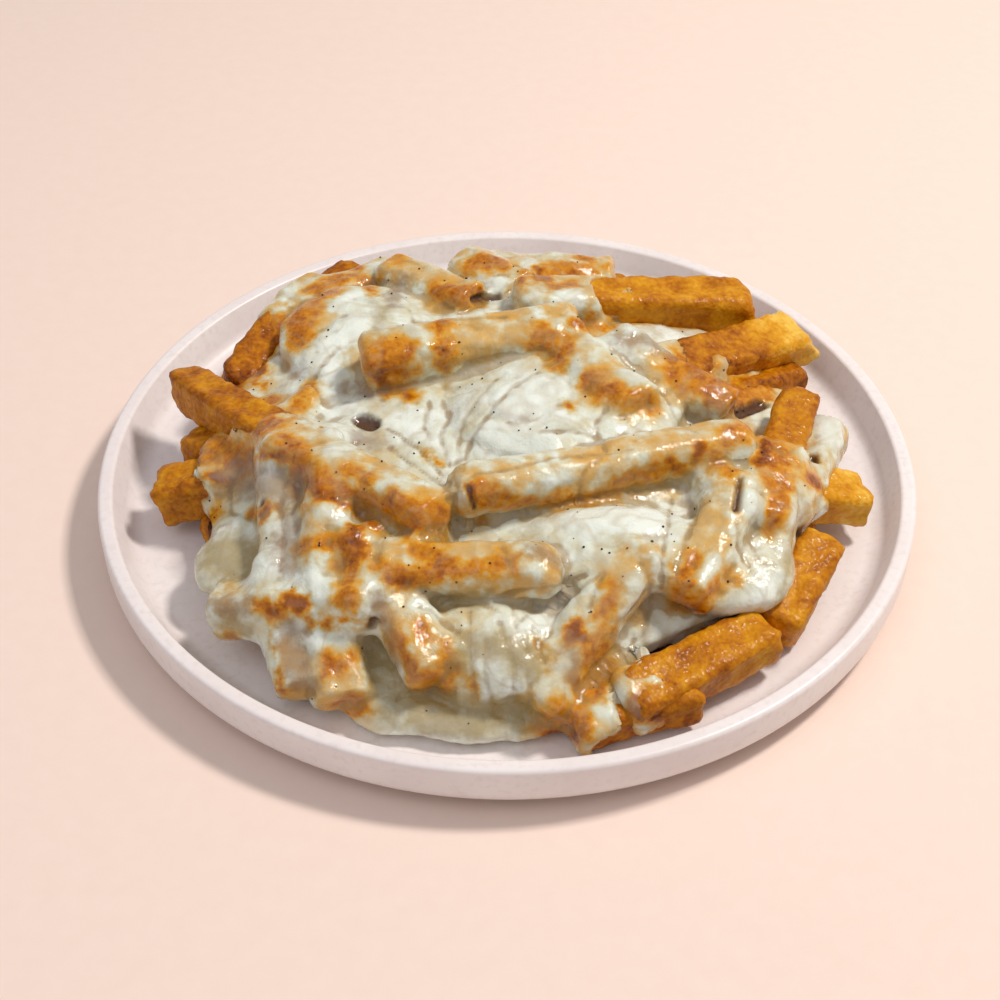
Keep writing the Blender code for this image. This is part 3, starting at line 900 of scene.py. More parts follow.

# %% [markdown]
# ## Marks on the cheese
#
# What makes this plate itself is where the gravy shows. Each mark is a stroke that was picked
# in the photograph: a finish, a half width in millimetres, and the pixels that it runs
# through. A stroke is thrown from the camera on to the skin and from then on lies in space, so
# it stays on the cheese from any side. Painting pixels straight on would slide off the ridges.
# The camera can't see the back, so short strokes are drawn there along the tops of the fries.
#
# The finishes are these. Amber is gravy under a film of cheese, rust is gravy that has browned,
# tan is a veil of cheese that lets a little gravy through, curd is thick white cheese, whey is
# the thin yellow-green film by the plate, and the mauve-grey finish is painted shade, laid where
# the cheese is stretched over a shaded hollow. A slit is a real gap, dented in and painted dark
# brown as painted shade. The thin rust strokes along the joins of the fries and under them paint
# the shade there as well as browned gravy. A fold is a thin line where two sheets of cheese
# meet, so it has pixels only, and no width. It is a shallow groove that is painted darker along
# its length, partly as painted shade and partly as brown strands of gravy.

# %% The strokes
Mark = namedtuple("Mark", "finish reach pixels")
# Mauve-grey strokes paint shade, and slits are painted dark as shade in the gaps. Thin rust strokes along the
# joins and under the fries paint shade as well as browned gravy.
MARKS = {
    "flank_amber": Mark("amber", 6.0, [(230, 392), (252, 362), (276, 330), (300, 305)]),
    "flank_dark": Mark("rust", 4.6, [(236, 380), (246, 360), (260, 338)]),
    "flank_bright": Mark("amber", 4.2, [(300, 338), (304, 320), (314, 304), (328, 292)]),
    "flank_top": Mark("amber", 3.6, [(318, 288), (334, 280)]),
    "flank_edge": Mark("amber", 2.4, [(340, 284), (356, 274)]),
    "flank_bump": Mark("tan", 3.0, [(312, 330), (322, 316)]),
    "flank_white": Mark("curd", 4.6, [(316, 356), (336, 334), (356, 322)]),
    "flank_white_low": Mark("curd", 3.0, [(312, 394), (326, 376)]),
    "top_left_amber": Mark("amber", 3.2, [(345, 258), (358, 268)]),
    "top_left_brown": Mark("rust", 1.8, [(366, 278), (374, 292)]),
    "top_left_shade": Mark("painted_shade", 3.0, [(405, 275), (396, 292), (392, 306)]),
    "top_left_whey": Mark("whey", 2.4, [(372, 300), (386, 310), (378, 330)]),
    "point_under": Mark("amber", 4.6, [(200, 440), (222, 452), (244, 462)]),
    "point_inner": Mark("amber", 5.6, [(236, 410), (254, 418), (270, 424)]),
    "point_curd": Mark("curd", 3.0, [(263, 437), (268, 441)]),
    "point_gap": Mark("rust", 1.6, [(252, 458), (274, 456)]),
    "inner_streak": Mark("amber", 2.0, [(290, 414), (301, 402), (311, 389)]),
    "inner_curd": Mark("curd", 2.6, [(334, 411), (348, 408)]),
    "inner_curd_low": Mark("curd", 2.4, [(335, 433), (350, 436)]),
    "inner_shade": Mark("painted_shade", 3.4, [(345, 385), (372, 395)]),
    "hole": Mark("slit", 2.4, [(362, 420), (371, 423)]),
    "hole_shade": Mark("painted_shade", 4.4, [(360, 440), (378, 440)]),
    "hole_tan": Mark("tan", 3.2, [(392, 386), (408, 398)]),
    "hole_brown": Mark("rust", 1.2, [(402, 392), (408, 396)]),
    "small_slit": Mark("rust", 0.8, [(424, 454), (434, 460), (443, 466)]),
    "diagonal_start": Mark("amber", 4.2, [(282, 442), (300, 456)]),
    "diagonal_tan": Mark("tan", 3.0, [(306, 455), (322, 468), (345, 470)]),
    "diagonal_white": Mark("curd", 2.4, [(330, 451), (340, 457)]),
    "diagonal_middle": Mark("amber", 3.4, [(345, 468), (364, 476)]),
    "diagonal_flank": Mark("amber", 3.6, [(298, 470), (322, 482), (345, 493), (370, 503)]),
    "diagonal_white_low": Mark("curd", 3.0, [(374, 478), (398, 492)]),
    "diagonal_low": Mark("amber", 5.0, [(392, 508), (416, 516), (440, 518)]),
    "diagonal_end": Mark("tan", 2.4, [(448, 500), (453, 512)]),
    # A thin rust stroke under the diagonal fry: painted shadow
    "diagonal_shadow": Mark("rust", 1.4, [(300, 484), (335, 501), (372, 520), (408, 531)]),
    "left_flank_amber": Mark("amber", 3.0, [(198, 508), (210, 514)]),
    "left_flank_brown": Mark("rust", 1.1, [(206, 478), (230, 478)]),
    "left_flank_loop": Mark("rust", 1.2, [(248, 516), (262, 514), (268, 504)]),
    "left_flank_dot": Mark("slit", 0.5, [(261, 503)]),
    "left_flank_white": Mark("curd", 2.4, [(192, 492), (200, 512)]),
    "left_flank_white_low": Mark("curd", 2.4, [(204, 524), (216, 534)]),
    "left_shade": Mark("painted_shade", 7.0, [(232, 474), (258, 482), (288, 490)]),
    "left_shade_low": Mark("painted_shade", 5.0, [(286, 520), (288, 565)]),
    "left_join_brown": Mark("rust", 1.0, [(300, 470), (296, 490), (302, 512)]),
    "left_stub_amber": Mark("amber", 3.0, [(184, 462), (196, 448), (206, 456)]),
    "left_stub_tan": Mark("tan", 3.6, [(212, 470), (226, 488)]),
    "left_whey": Mark("whey", 8.5, [(222, 552), (246, 560), (244, 574)]),
    "stub_low_shade": Mark("painted_shade", 4.6, [(214, 602), (240, 606)]),
    "stub_low_whey": Mark("whey", 3.6, [(222, 622), (250, 628)]),
    "stub_low_join": Mark("rust", 2.6, [(262, 606), (272, 612)]),
    "stub_low_edge": Mark("amber", 1.6, [(232, 636), (244, 644), (252, 652)]),
    "column_top_amber": Mark("amber", 3.0, [(304, 546), (322, 540), (340, 538)]),
    "column_side_amber": Mark("amber", 3.0, [(346, 552), (350, 578), (344, 600)]),
    "column_side_rust": Mark("rust", 2.0, [(354, 524), (358, 545), (353, 560)]),
    "column_white": Mark("curd", 3.8, [(322, 562), (322, 590)]),
    "column_cap_white": Mark("curd", 3.4, [(330, 512), (346, 516)]),
    "column_cap_tan": Mark("tan", 2.2, [(316, 506), (316, 522)]),
    "column_gap_left": Mark("rust", 2.6, [(284, 596), (300, 604)]),
    "column_gap_right": Mark("rust", 1.5, [(312, 622), (330, 628), (346, 620)]),
    "column_gap_deep": Mark("slit", 0.5, [(374, 622), (371, 630)]),
    "column_end_white": Mark("curd", 2.8, [(318, 645), (345, 640)]),
    "column_end_amber": Mark("amber", 3.0, [(334, 664), (350, 660)]),
    "column_end_tan": Mark("tan", 3.4, [(325, 684), (340, 688)]),
    "column_end_low": Mark("amber", 3.6, [(334, 716), (352, 702)]),
    "column_end_rust": Mark("rust", 1.6, [(326, 720), (350, 721)]),
    "lower_column_shade": Mark("painted_shade", 5.6, [(290, 640), (298, 680)]),
    "lower_column_rust": Mark("rust", 0.9, [(272, 650), (276, 672), (284, 694)]),
    "lower_column_tan": Mark("tan", 3.0, [(292, 655), (306, 664)]),
    "front_left_whey": Mark("whey", 6.0, [(384, 650), (386, 685), (400, 706)]),
    "middle_bar_amber": Mark("amber", 4.8, [(378, 352), (400, 350)]),
    "middle_bar_low": Mark("amber", 2.8, [(376, 368), (404, 372)]),
    "middle_bar_tan": Mark("tan", 3.2, [(357, 356), (361, 372)]),
    "middle_bar_drip": Mark("rust", 1.8, [(382, 376), (386, 388)]),
    "middle_bar_white": Mark("curd", 2.4, [(416, 334), (424, 346)]),
    "middle_bar_band": Mark("amber", 2.4, [(438, 325), (442, 342), (446, 360)]),
    "middle_bar_veins": Mark("tan", 2.8, [(458, 342), (485, 336), (515, 336)]),
    "middle_bar_end": Mark("amber", 4.2, [(540, 338), (562, 344)]),
    "middle_bar_end_low": Mark("amber", 2.8, [(552, 354), (560, 364)]),
    "back_first": Mark("amber", 3.4, [(436, 288), (455, 292), (474, 296)]),
    "back_first_tan": Mark("tan", 2.6, [(428, 300), (444, 307)]),
    "back_second": Mark("amber", 4.8, [(482, 262), (500, 262)]),
    "back_second_white": Mark("curd", 2.4, [(490, 286), (500, 280)]),
    "back_loop": Mark("tan", 2.8, [(512, 264), (520, 276), (516, 288)]),
    "back_loop_brown": Mark("rust", 1.1, [(523, 270), (521, 284)]),
    "back_third": Mark("amber", 3.0, [(545, 274), (566, 270), (590, 266)]),
    "back_third_low": Mark("amber", 2.0, [(553, 285), (572, 283)]),
    "back_third_brown": Mark("rust", 1.8, [(536, 268), (546, 280)]),
    "back_left_brown": Mark("rust", 2.0, [(424, 260), (434, 258)]),
    "back_left_amber": Mark("amber", 2.2, [(388, 252), (396, 258)]),
    "back_left_tan": Mark("tan", 3.0, [(414, 268), (430, 275)]),
    "back_edge": Mark("amber", 1.8, [(556, 248), (580, 254), (602, 264)]),
    "back_low_edge": Mark("tan", 2.6, [(612, 268), (640, 272), (660, 276)]),
    "back_gap": Mark("slit", 0.7, [(474, 300), (486, 296), (498, 296)]),
    "big_veil": Mark("tan", 3.8, [(590, 290), (604, 304)]),
    "big_veil_low": Mark("amber", 2.6, [(578, 322), (598, 326), (612, 328)]),
    "big_under": Mark("painted_shade", 4.0, [(622, 340), (645, 342), (668, 350)]),
    "yellow_base": Mark("amber", 6.2, [(684, 372), (706, 354)]),
    "yellow_brown": Mark("amber", 5.6, [(700, 384), (730, 390), (756, 388)]),
    "yellow_tan": Mark("tan", 4.6, [(664, 364), (672, 388)]),
    "yellow_gap": Mark("slit", 1.8, [(740, 410), (764, 402)]),
    "yellow_low_shade": Mark("painted_shade", 3.0, [(698, 414), (724, 412)]),
    "centre_end_amber": Mark("amber", 4.2, [(592, 380), (610, 388)]),
    "centre_end_second": Mark("amber", 3.2, [(634, 398), (646, 402)]),
    "centre_end_tan": Mark("tan", 3.6, [(620, 396), (648, 412)]),
    "centre_end_white": Mark("curd", 3.0, [(628, 372), (640, 378)]),
    "centre_spot": Mark("tan", 1.6, [(562, 404), (572, 406)]),
    "centre_spot_brown": Mark("rust", 0.5, [(568, 405)]),
    "centre_grey": Mark("painted_shade", 1.6, [(512, 416), (526, 420)]),
    "centre_white": Mark("curd", 8.0, [(520, 400), (560, 380)]),
    "centre_white_low": Mark("curd", 6.0, [(490, 440), (540, 450)]),
    "ridge_first": Mark("amber", 3.2, [(480, 494), (496, 500)]),
    "ridge_line": Mark("amber", 1.3, [(500, 503), (540, 503), (585, 500), (620, 490)]),
    "ridge_second": Mark("amber", 2.4, [(560, 501), (586, 500)]),
    "ridge_third": Mark("amber", 2.2, [(616, 482), (645, 476), (680, 468)]),
    "ridge_tan": Mark("tan", 3.0, [(600, 492), (640, 487), (690, 470)]),
    "ridge_fourth": Mark("amber", 2.8, [(715, 464), (732, 470)]),
    "ridge_brown": Mark("rust", 0.9, [(694, 462), (700, 444)]),
    "ridge_end_tan": Mark("tan", 4.4, [(700, 440), (730, 434), (752, 430)]),
    "ridge_end_amber": Mark("amber", 3.0, [(728, 436), (746, 428)]),
    "ridge_end_white": Mark("curd", 2.8, [(735, 452), (748, 452)]),
    "ridge_gap": Mark("slit", 0.1, [(466, 486), (472, 500), (475, 510)]),
    "ridge_gap_brown": Mark("rust", 0.8, [(466, 484), (474, 506), (480, 522)]),
    "post_amber": Mark("amber", 5.2, [(774, 450), (778, 478)]),
    "post_amber_low": Mark("amber", 2.8, [(777, 490), (776, 512), (774, 524)]),
    "post_brown": Mark("rust", 2.2, [(764, 440), (763, 462)]),
    "post_tan": Mark("tan", 3.4, [(780, 442), (792, 452)]),
    "post_white": Mark("curd", 3.0, [(752, 500), (758, 514)]),
    "post_gap": Mark("slit", 0.5, [(740, 478), (738, 494), (736, 508)]),
    "lump_white": Mark("curd", 4.0, [(826, 424), (834, 438)]),
    "lump_tan": Mark("tan", 2.2, [(840, 446), (842, 456)]),
    "lump_gap": Mark("slit", 1.2, [(810, 448), (816, 458)]),
    "stub_brown": Mark("rust", 2.6, [(808, 478), (822, 486)]),
    "stub_tan": Mark("tan", 3.0, [(798, 474), (812, 470)]),
    "stub_white": Mark("curd", 1.6, [(834, 483)]),
    "right_edge_whey": Mark("whey", 2.4, [(800, 497), (792, 550), (782, 600)]),
    "slant_upper": Mark("amber", 2.4, [(692, 556), (684, 578)]),
    "slant_bottom": Mark("amber", 3.6, [(682, 598), (692, 603)]),
    "slant_bottom_rust": Mark("rust", 1.5, [(676, 607), (692, 610)]),
    "slant_side": Mark("amber", 2.0, [(704, 597), (718, 590), (730, 580)]),
    "slant_white": Mark("curd", 2.4, [(702, 582), (712, 560)]),
    "slant_tan": Mark("tan", 3.0, [(698, 540), (704, 522), (700, 506)]),
    "right_white_brown": Mark("rust", 0.6, [(668, 456), (676, 470)]),
    "right_pink": Mark("tan", 2.4, [(716, 530), (722, 548)]),
    "right_column_white": Mark("curd", 4.4, [(745, 598), (758, 588)]),
    "right_column_tan": Mark("tan", 1.8, [(740, 573), (752, 576)]),
    "right_column_tan_left": Mark("tan", 1.8, [(664, 488), (672, 494)]),
    "wedge_amber": Mark("amber", 7.6, [(712, 650), (735, 634), (758, 622)]),
    "wedge_low": Mark("amber", 5.6, [(700, 672), (722, 662)]),
    "wedge_white": Mark("curd", 1.6, [(748, 622), (754, 632)]),
    "wedge_tan": Mark("tan", 2.4, [(715, 630), (728, 620)]),
    "wedge_left": Mark("rust", 4.0, [(680, 650), (690, 662)]),
    "wedge_gap": Mark("slit", 1.2, [(632, 672), (650, 670), (668, 664)]),
    "front_bar_amber": Mark("amber", 5.6, [(650, 706), (672, 704), (694, 696)]),
    "front_bar_cap": Mark("tan", 3.6, [(672, 682), (690, 690)]),
    "front_bar_white": Mark("curd", 2.4, [(658, 681), (668, 684)]),
    "front_bar_rust": Mark("rust", 2.4, [(640, 716), (662, 715)]),
    "front_low_white": Mark("curd", 3.8, [(606, 706), (622, 700)]),
    "front_low_shade": Mark("painted_shade", 3.0, [(626, 716), (634, 702)]),
    "arch_white": Mark("curd", 3.2, [(624, 606), (634, 590)]),
    "arch_tan": Mark("tan", 3.2, [(612, 574), (628, 566), (640, 576)]),
    "arch_amber": Mark("amber", 2.4, [(612, 590), (604, 612)]),
    "arch_right": Mark("tan", 1.6, [(640, 600), (642, 614), (630, 622)]),
    "arch_low_amber": Mark("amber", 4.4, [(600, 640), (598, 668), (590, 690)]),
    "arch_low_tan": Mark("tan", 3.6, [(612, 655), (616, 668)]),
    "arch_left_rust": Mark("rust", 2.4, [(574, 628), (584, 640)]),
    "arch_left_shade": Mark("painted_shade", 3.6, [(574, 655), (574, 676)]),
    "arch_end_amber": Mark("amber", 5.4, [(552, 726), (572, 720)]),
    "arch_end_rust": Mark("rust", 2.6, [(550, 737), (575, 736)]),
    "bar_flank": Mark("amber", 2.6, [(380, 566), (400, 576), (430, 574), (460, 570), (505, 562)]),
    "bar_left_tan": Mark("tan", 3.0, [(392, 556), (400, 566)]),
    "bar_middle": Mark("amber", 3.2, [(414, 550), (436, 556)]),
    "bar_dark": Mark("rust", 1.1, [(382, 578), (404, 584)]),
    "bar_dark_second": Mark("rust", 0.9, [(430, 563), (452, 566)]),
    "bar_top_tan": Mark("tan", 2.8, [(450, 548), (480, 548), (500, 550)]),
    "slope_amber": Mark("amber", 2.6, [(394, 640), (402, 656), (412, 668)]),
    "slope_end": Mark("amber", 3.4, [(420, 680), (440, 684)]),
    "slope_end_rust": Mark("rust", 1.8, [(416, 689), (438, 692)]),
    "slope_right": Mark("amber", 2.2, [(446, 648), (450, 664)]),
    "slope_top": Mark("amber", 1.6, [(420, 628), (430, 638)]),
    "slope_tan": Mark("tan", 2.8, [(424, 652), (434, 664)]),
    "slope_white": Mark("curd", 2.6, [(418, 604), (432, 612)]),
    "slope_shade": Mark("painted_shade", 3.6, [(378, 600), (388, 636), (396, 664)]),
    "front_whey": Mark("whey", 7.0, [(420, 712), (470, 718), (520, 708)]),
    "front_whey_upper": Mark("whey", 6.0, [(470, 650), (500, 645), (530, 660)]),
    "middle_whey": Mark("whey", 3.0, [(450, 600), (480, 597)]),
    "low_shade": Mark("painted_shade", 2.6, [(530, 548), (560, 562)]),
    "low_white": Mark("curd", 7.0, [(590, 520), (640, 516)]),
    "low_white_front": Mark("curd", 4.0, [(560, 600), (540, 620)]),
    "brown_strand": Mark("rust", 0.4, [(474, 668), (475, 690), (478, 702)]),
    "brown_strand_second": Mark("rust", 0.4, [(498, 692), (497, 706), (496, 716)]),
    "brown_strand_third": Mark("rust", 0.6, [(538, 642), (542, 656), (546, 664)]),
}
# Fold lines: each is pressed in as a shallow groove and painted darker along it, partly as painted shade and
# partly as brown strands of gravy
FOLDS = {
    "up": [(454, 478), (447, 455), (441, 436), (448, 416), (441, 398)],
    "up_right": [(462, 470), (466, 452), (484, 420), (500, 402), (511, 389), (538, 373)],
    "up_between": [(458, 474), (458, 448), (464, 420), (480, 396), (496, 378)],
    "left": [(449, 482), (436, 468), (418, 448), (400, 434), (388, 428)],
    "left_second": [(447, 488), (430, 476), (405, 460), (390, 446)],
    "pit": [(446, 490), (452, 476), (458, 492), (450, 500)],
    "right": [(466, 480), (480, 472), (500, 470), (520, 466), (554, 457), (585, 455)],
    "right_end": [(560, 458), (590, 452), (608, 451), (632, 449)],
    "star_up": [(608, 451), (599, 436), (596, 424), (604, 410)],
    "star_left": [(596, 436), (570, 430), (540, 432)],
    "star_down": [(602, 455), (588, 468), (580, 482), (579, 500)],
    "right_rise": [(664, 392), (672, 408), (680, 424), (700, 432)],
    "top_left": [(409, 310), (414, 322), (428, 321), (455, 319), (505, 314)],
    "back": [(395, 256), (412, 260), (424, 266)],
    "front_long": [(545, 640), (556, 620), (572, 598), (592, 580), (604, 572)],
    "front_wide": [(497, 598), (520, 592), (552, 588), (585, 576)],
    "front_third": [(520, 620), (540, 606), (560, 592)],
    "arch": [(640, 562), (650, 576), (653, 600), (648, 622), (643, 642)],
    "arch_right": [(632, 672), (630, 655), (636, 640)],
    "arch_left": [(604, 572), (596, 590), (590, 606)],
    "column": [(674, 580), (680, 556), (690, 530), (698, 508), (708, 500)],
    "right_column": [(736, 520), (738, 545), (744, 560), (750, 566)],
    "right_second": [(756, 520), (750, 540), (758, 560), (776, 565)],
    "right_third": [(672, 500), (668, 530), (664, 560), (662, 590)],
    "strand_first": [(470, 612), (468, 640), (472, 672), (476, 702)],
    "strand_second": [(500, 620), (506, 645), (516, 664), (514, 690)],
    "strand_third": [(534, 626), (540, 648), (546, 662)],
    "strand_fourth": [(486, 640), (484, 668), (488, 690), (496, 716)],
    "strand_fifth": [(455, 690), (453, 704), (458, 722)],
    "strand_sixth": [(528, 676), (530, 696), (524, 720)],
    "strand_seventh": [(512, 606), (518, 630), (528, 650)],
    "low_left": [(396, 700), (408, 690), (424, 702)],
    "slope": [(416, 604), (430, 612), (446, 624), (458, 632)],
    "lower": [(440, 600), (460, 604), (478, 602), (500, 612)],
    "bar": [(500, 540), (505, 552), (510, 566)],
    "left_column": [(283, 488), (280, 510), (284, 540), (280, 570)],
    "left_loop": [(238, 470), (228, 490), (230, 512), (250, 520), (268, 514)],
    "left_drop": [(298, 480), (300, 498), (292, 512)],
    "white_left": [(316, 378), (326, 360), (340, 346)],
    "white_right": [(430, 400), (424, 424), (430, 440)],
}
PIXEL_STEP = 7
FINISHES = ("amber", "rust", "tan", "curd", "whey", "painted_shade", "slit", "fold")
FARTHEST = 12.0
BACK_FINISHES = ("amber", "tan", "amber", "rust", "curd", "amber")
BACK_STROKES = 3
BACK_REACH = (1.5, 4.0)


def tree_of(mesh):
    bm = bmesh.new()
    bm.from_mesh(mesh)
    tree = BVHTree.FromBMesh(bm)
    bm.free()
    return tree


def stroke_pixels(pixels):
    """The stroke's pixels, with more between them, close enough to follow a ridge."""
    dense = [Vector(pixels[0])]
    for start, end in zip(pixels, pixels[1:]):
        run = Vector(end) - Vector(start)
        count = max(1, round(run.length / PIXEL_STEP))
        dense += [Vector(start) + run * (i + 1) / count for i in range(count)]
    return dense


def thrown_on(tree, pixels):
    """Where the camera sees the stroke's pixels on the skin."""
    hits = [tree.ray_cast(CAMERA_PLACE, photo_ray(pixel))[0] for pixel in stroke_pixels(pixels)]
    return [np.array(hit) for hit in hits if hit is not None]


def distance_to_stroke(points, stroke):
    nearest = np.linalg.norm(points - stroke[0], axis=1)
    for start, end in zip(stroke, stroke[1:]):
        run = end - start
        along = np.clip((points - start) @ run / max(run @ run, 1e-12), 0, 1)
        nearest = np.minimum(nearest, np.linalg.norm(points - start - along[:, None] * run, axis=1))
    return nearest


def back_strokes():
    """Strokes along the tops of the fries at the back, which the camera doesn't see."""
    draw = random.Random(SEED + 9)
    strokes = []
    for stick in sticks:
        if stick.name.startswith("back_") and stick.fry.bare > 0:
            for finish in draw.sample(BACK_FINISHES, BACK_STROKES):
                start = draw.uniform(-0.7, 0.5)
                side = draw.uniform(-0.8, 0.8)
                ends = [(start, side), (start + draw.uniform(0.1, 0.5), side + draw.uniform(-0.5, 0.5))]
                stroke = [
                    np.array(stick.matrix @ Vector((a * stick.half.x, s * stick.half.y, stick.half.z)))
                    for a, s in ends
                ]
                strokes.append((finish, draw.uniform(*BACK_REACH), stroke))
    return strokes


def mark_distances(points, tree):
    """For each finish, how many millimetres each point lies outside its nearest stroke."""
    marked = {finish: np.full(len(points), FARTHEST) for finish in FINISHES}
    strokes = [(mark.finish, mark.reach, thrown_on(tree, mark.pixels)) for mark in MARKS.values()]
    strokes += [("fold", 0, thrown_on(tree, pixels)) for pixels in FOLDS.values()]
    strokes += back_strokes()
    for finish, reach, stroke in strokes:
        if stroke:
            outside = distance_to_stroke(points, stroke) / MM - reach
            marked[finish] = np.minimum(marked[finish], outside)
    print("strokes", len(strokes), "of which miss", sum(not stroke for _, _, stroke in strokes))
    return marked


marked = mark_distances(read_points(cheese.data), tree_of(cheese.data))

# %% [markdown]
# ### Gaps and folds in relief
#
# A dark gap is a real dent in the cheese, a fold is a shallow groove, and thick white cheese
# stands a little higher. They are pressed along the skin's own normals, so that light and shadow
# find them, and so are waves of three sizes, all less than half a millimetre high.
#
# Two more numbers go on to each point for the finish: how thick the cheese lies over the nearest
# fry, and how deep the point lies in a crease, where the skin lies below its own smoothed copy.
# The finish paints the deep points darker, as painted shade. Last, the skin is cut off flat just
# above the plate, and loose crumbs of it go.

# %% Press the marks in
SLIT_DEPTH = 2.4
FOLD_DEPTH = 0.42
FOLD_WIDTH = 1.2
CURD_HEIGHT = 0.6
BROAD_WAVES = 0.4
BROAD_SIZE = 13 * MM
BROAD_LEVEL = 0.5
SKIN_WAVES = 0.3
SKIN_SIZE = 6 * MM
FINE_WAVES = 0.15
FINE_SIZE = 2.6 * MM
SKIN_GAP = 0.5 * MM
CREASE_TURNS = 5
CREASE_START = 1.6
LEAST_ISLAND = 400
THICKEST_FILM = 8


def press_marks(skin, marked):
    points = read_points(skin.data)
    dent = SLIT_DEPTH * smooth_step(-marked["slit"], -1.4, 1.2)
    dent += FOLD_DEPTH * np.exp(-np.square(marked["fold"] / FOLD_WIDTH))
    swell = CURD_HEIGHT * smooth_step(-marked["curd"], -1.5, 1.5)
    swell += BROAD_WAVES * (ripple(points, BROAD_SIZE, SEED + 4) - BROAD_LEVEL)
    swell += SKIN_WAVES * ripple(points, SKIN_SIZE, SEED + 5)
    swell += FINE_WAVES * ripple(points, FINE_SIZE, SEED + 6)
    move = (swell - dent) * MM
    write_points(skin.data, points + read_normals(skin.data) * move[:, None])


def crease_depth(skin):
    """How far each point lies under its neighbourhood's mean, in tenths of a millimetre."""
    bm = bmesh.new()
    bm.from_mesh(skin.data)
    for _ in range(CREASE_TURNS):
        bmesh.ops.smooth_vert(
            bm, verts=bm.verts, factor=1.0, use_axis_x=True, use_axis_y=True, use_axis_z=True
        )
    mean = np.array([vert.co[:] for vert in bm.verts])
    bm.free()
    above = ((mean - read_points(skin.data)) * read_normals(skin.data)).sum(axis=1)
    return above / (0.1 * MM)


def film_thickness(points):
    """How many millimetres of cheese lie over the nearest fry."""
    thickness = np.full(len(points), THICKEST_FILM * MM)
    for stick in sticks:
        away, _ = stick.distance(points)
        thickness = np.minimum(thickness, away)
    return np.clip(thickness / MM, -1, THICKEST_FILM)


def drop_islands(bm, least):
    """Removes each loose bit of cheese with fewer points than the least."""
    left = set(bm.verts)
    loose = []
    while left:
        island, front = set(), [left.pop()]
        while front:
            vert = front.pop()
            island.add(vert)
            near = [edge.other_vert(vert) for edge in vert.link_edges]
            front += [other for other in near if other in left]
            left.difference_update(near)
        if len(island) < least:
            loose += island
    bmesh.ops.delete(bm, geom=loose, context="VERTS")
    print("loose points removed", len(loose))


press_marks(cheese, marked)
for finish, distances in marked.items():
    write_attribute(cheese.data, finish, distances)
write_attribute(cheese.data, "film", film_thickness(read_points(cheese.data)))
# How deep each point lies in a crease, which the finish paints darker as painted shade
write_attribute(cheese.data, "crease_shade", CREASE_START - crease_depth(cheese))

cheese_bm = bmesh.new()
cheese_bm.from_mesh(cheese.data)
cut_flat(cheese_bm, WELL_HEIGHT + SKIN_GAP)
drop_islands(cheese_bm, LEAST_ISLAND)
bpy.data.objects.remove(cheese)
cheese = object_from("melted_cheese_sheet", cheese_bm)
print("cheese triangles", sum(len(p.vertices) - 2 for p in cheese.data.polygons))

# %% [markdown]
# ### Melted cheese
#
# Young white cheese, melted under a hot grill: milky, a little green in the thick, and glossy with
# its own fat. Light goes a millimetre or two into it, which softens every fold. Where it is thin
# the gravy shows, first as a tan veil, then as clear amber, and brown where the grill has caught
# it. Those are all one scale, so the colour is a ramp over one value, how milky the cheese is.
# Each finish draws that value towards its own, and so patches that cross never add up to black.
#
# A finish is known by its distance in millimetres. Noise is added to the distance before it is
# cut off, which frays the edge of every patch at a scale that no vertex could. Creases, folds,
# whey, the mauve-grey and gaps have tints off that scale, so they are laid over the ramp. The
# crease, mauve-grey and gap tints are painted shade, and the fold tint is partly painted shade
# and partly brown strands.

# %% Melted cheese
def finish_share(tree, attribute, fray, outer, inner):
    """From 0 outside a finish's strokes to 1 inside, with a frayed edge between two distances."""
    distance = add(tree, "Attribute", attribute_name=attribute).outputs["Fac"]
    frayed = add(tree, "Math", {0: distance, 1: fray}, operation="ADD")
    share = add(
        tree, "MapRange", {"Value": frayed.outputs[0], "From Min": outer, "From Max": inner},
        interpolation_type="SMOOTHSTEP",
    )
    return share.outputs[0]


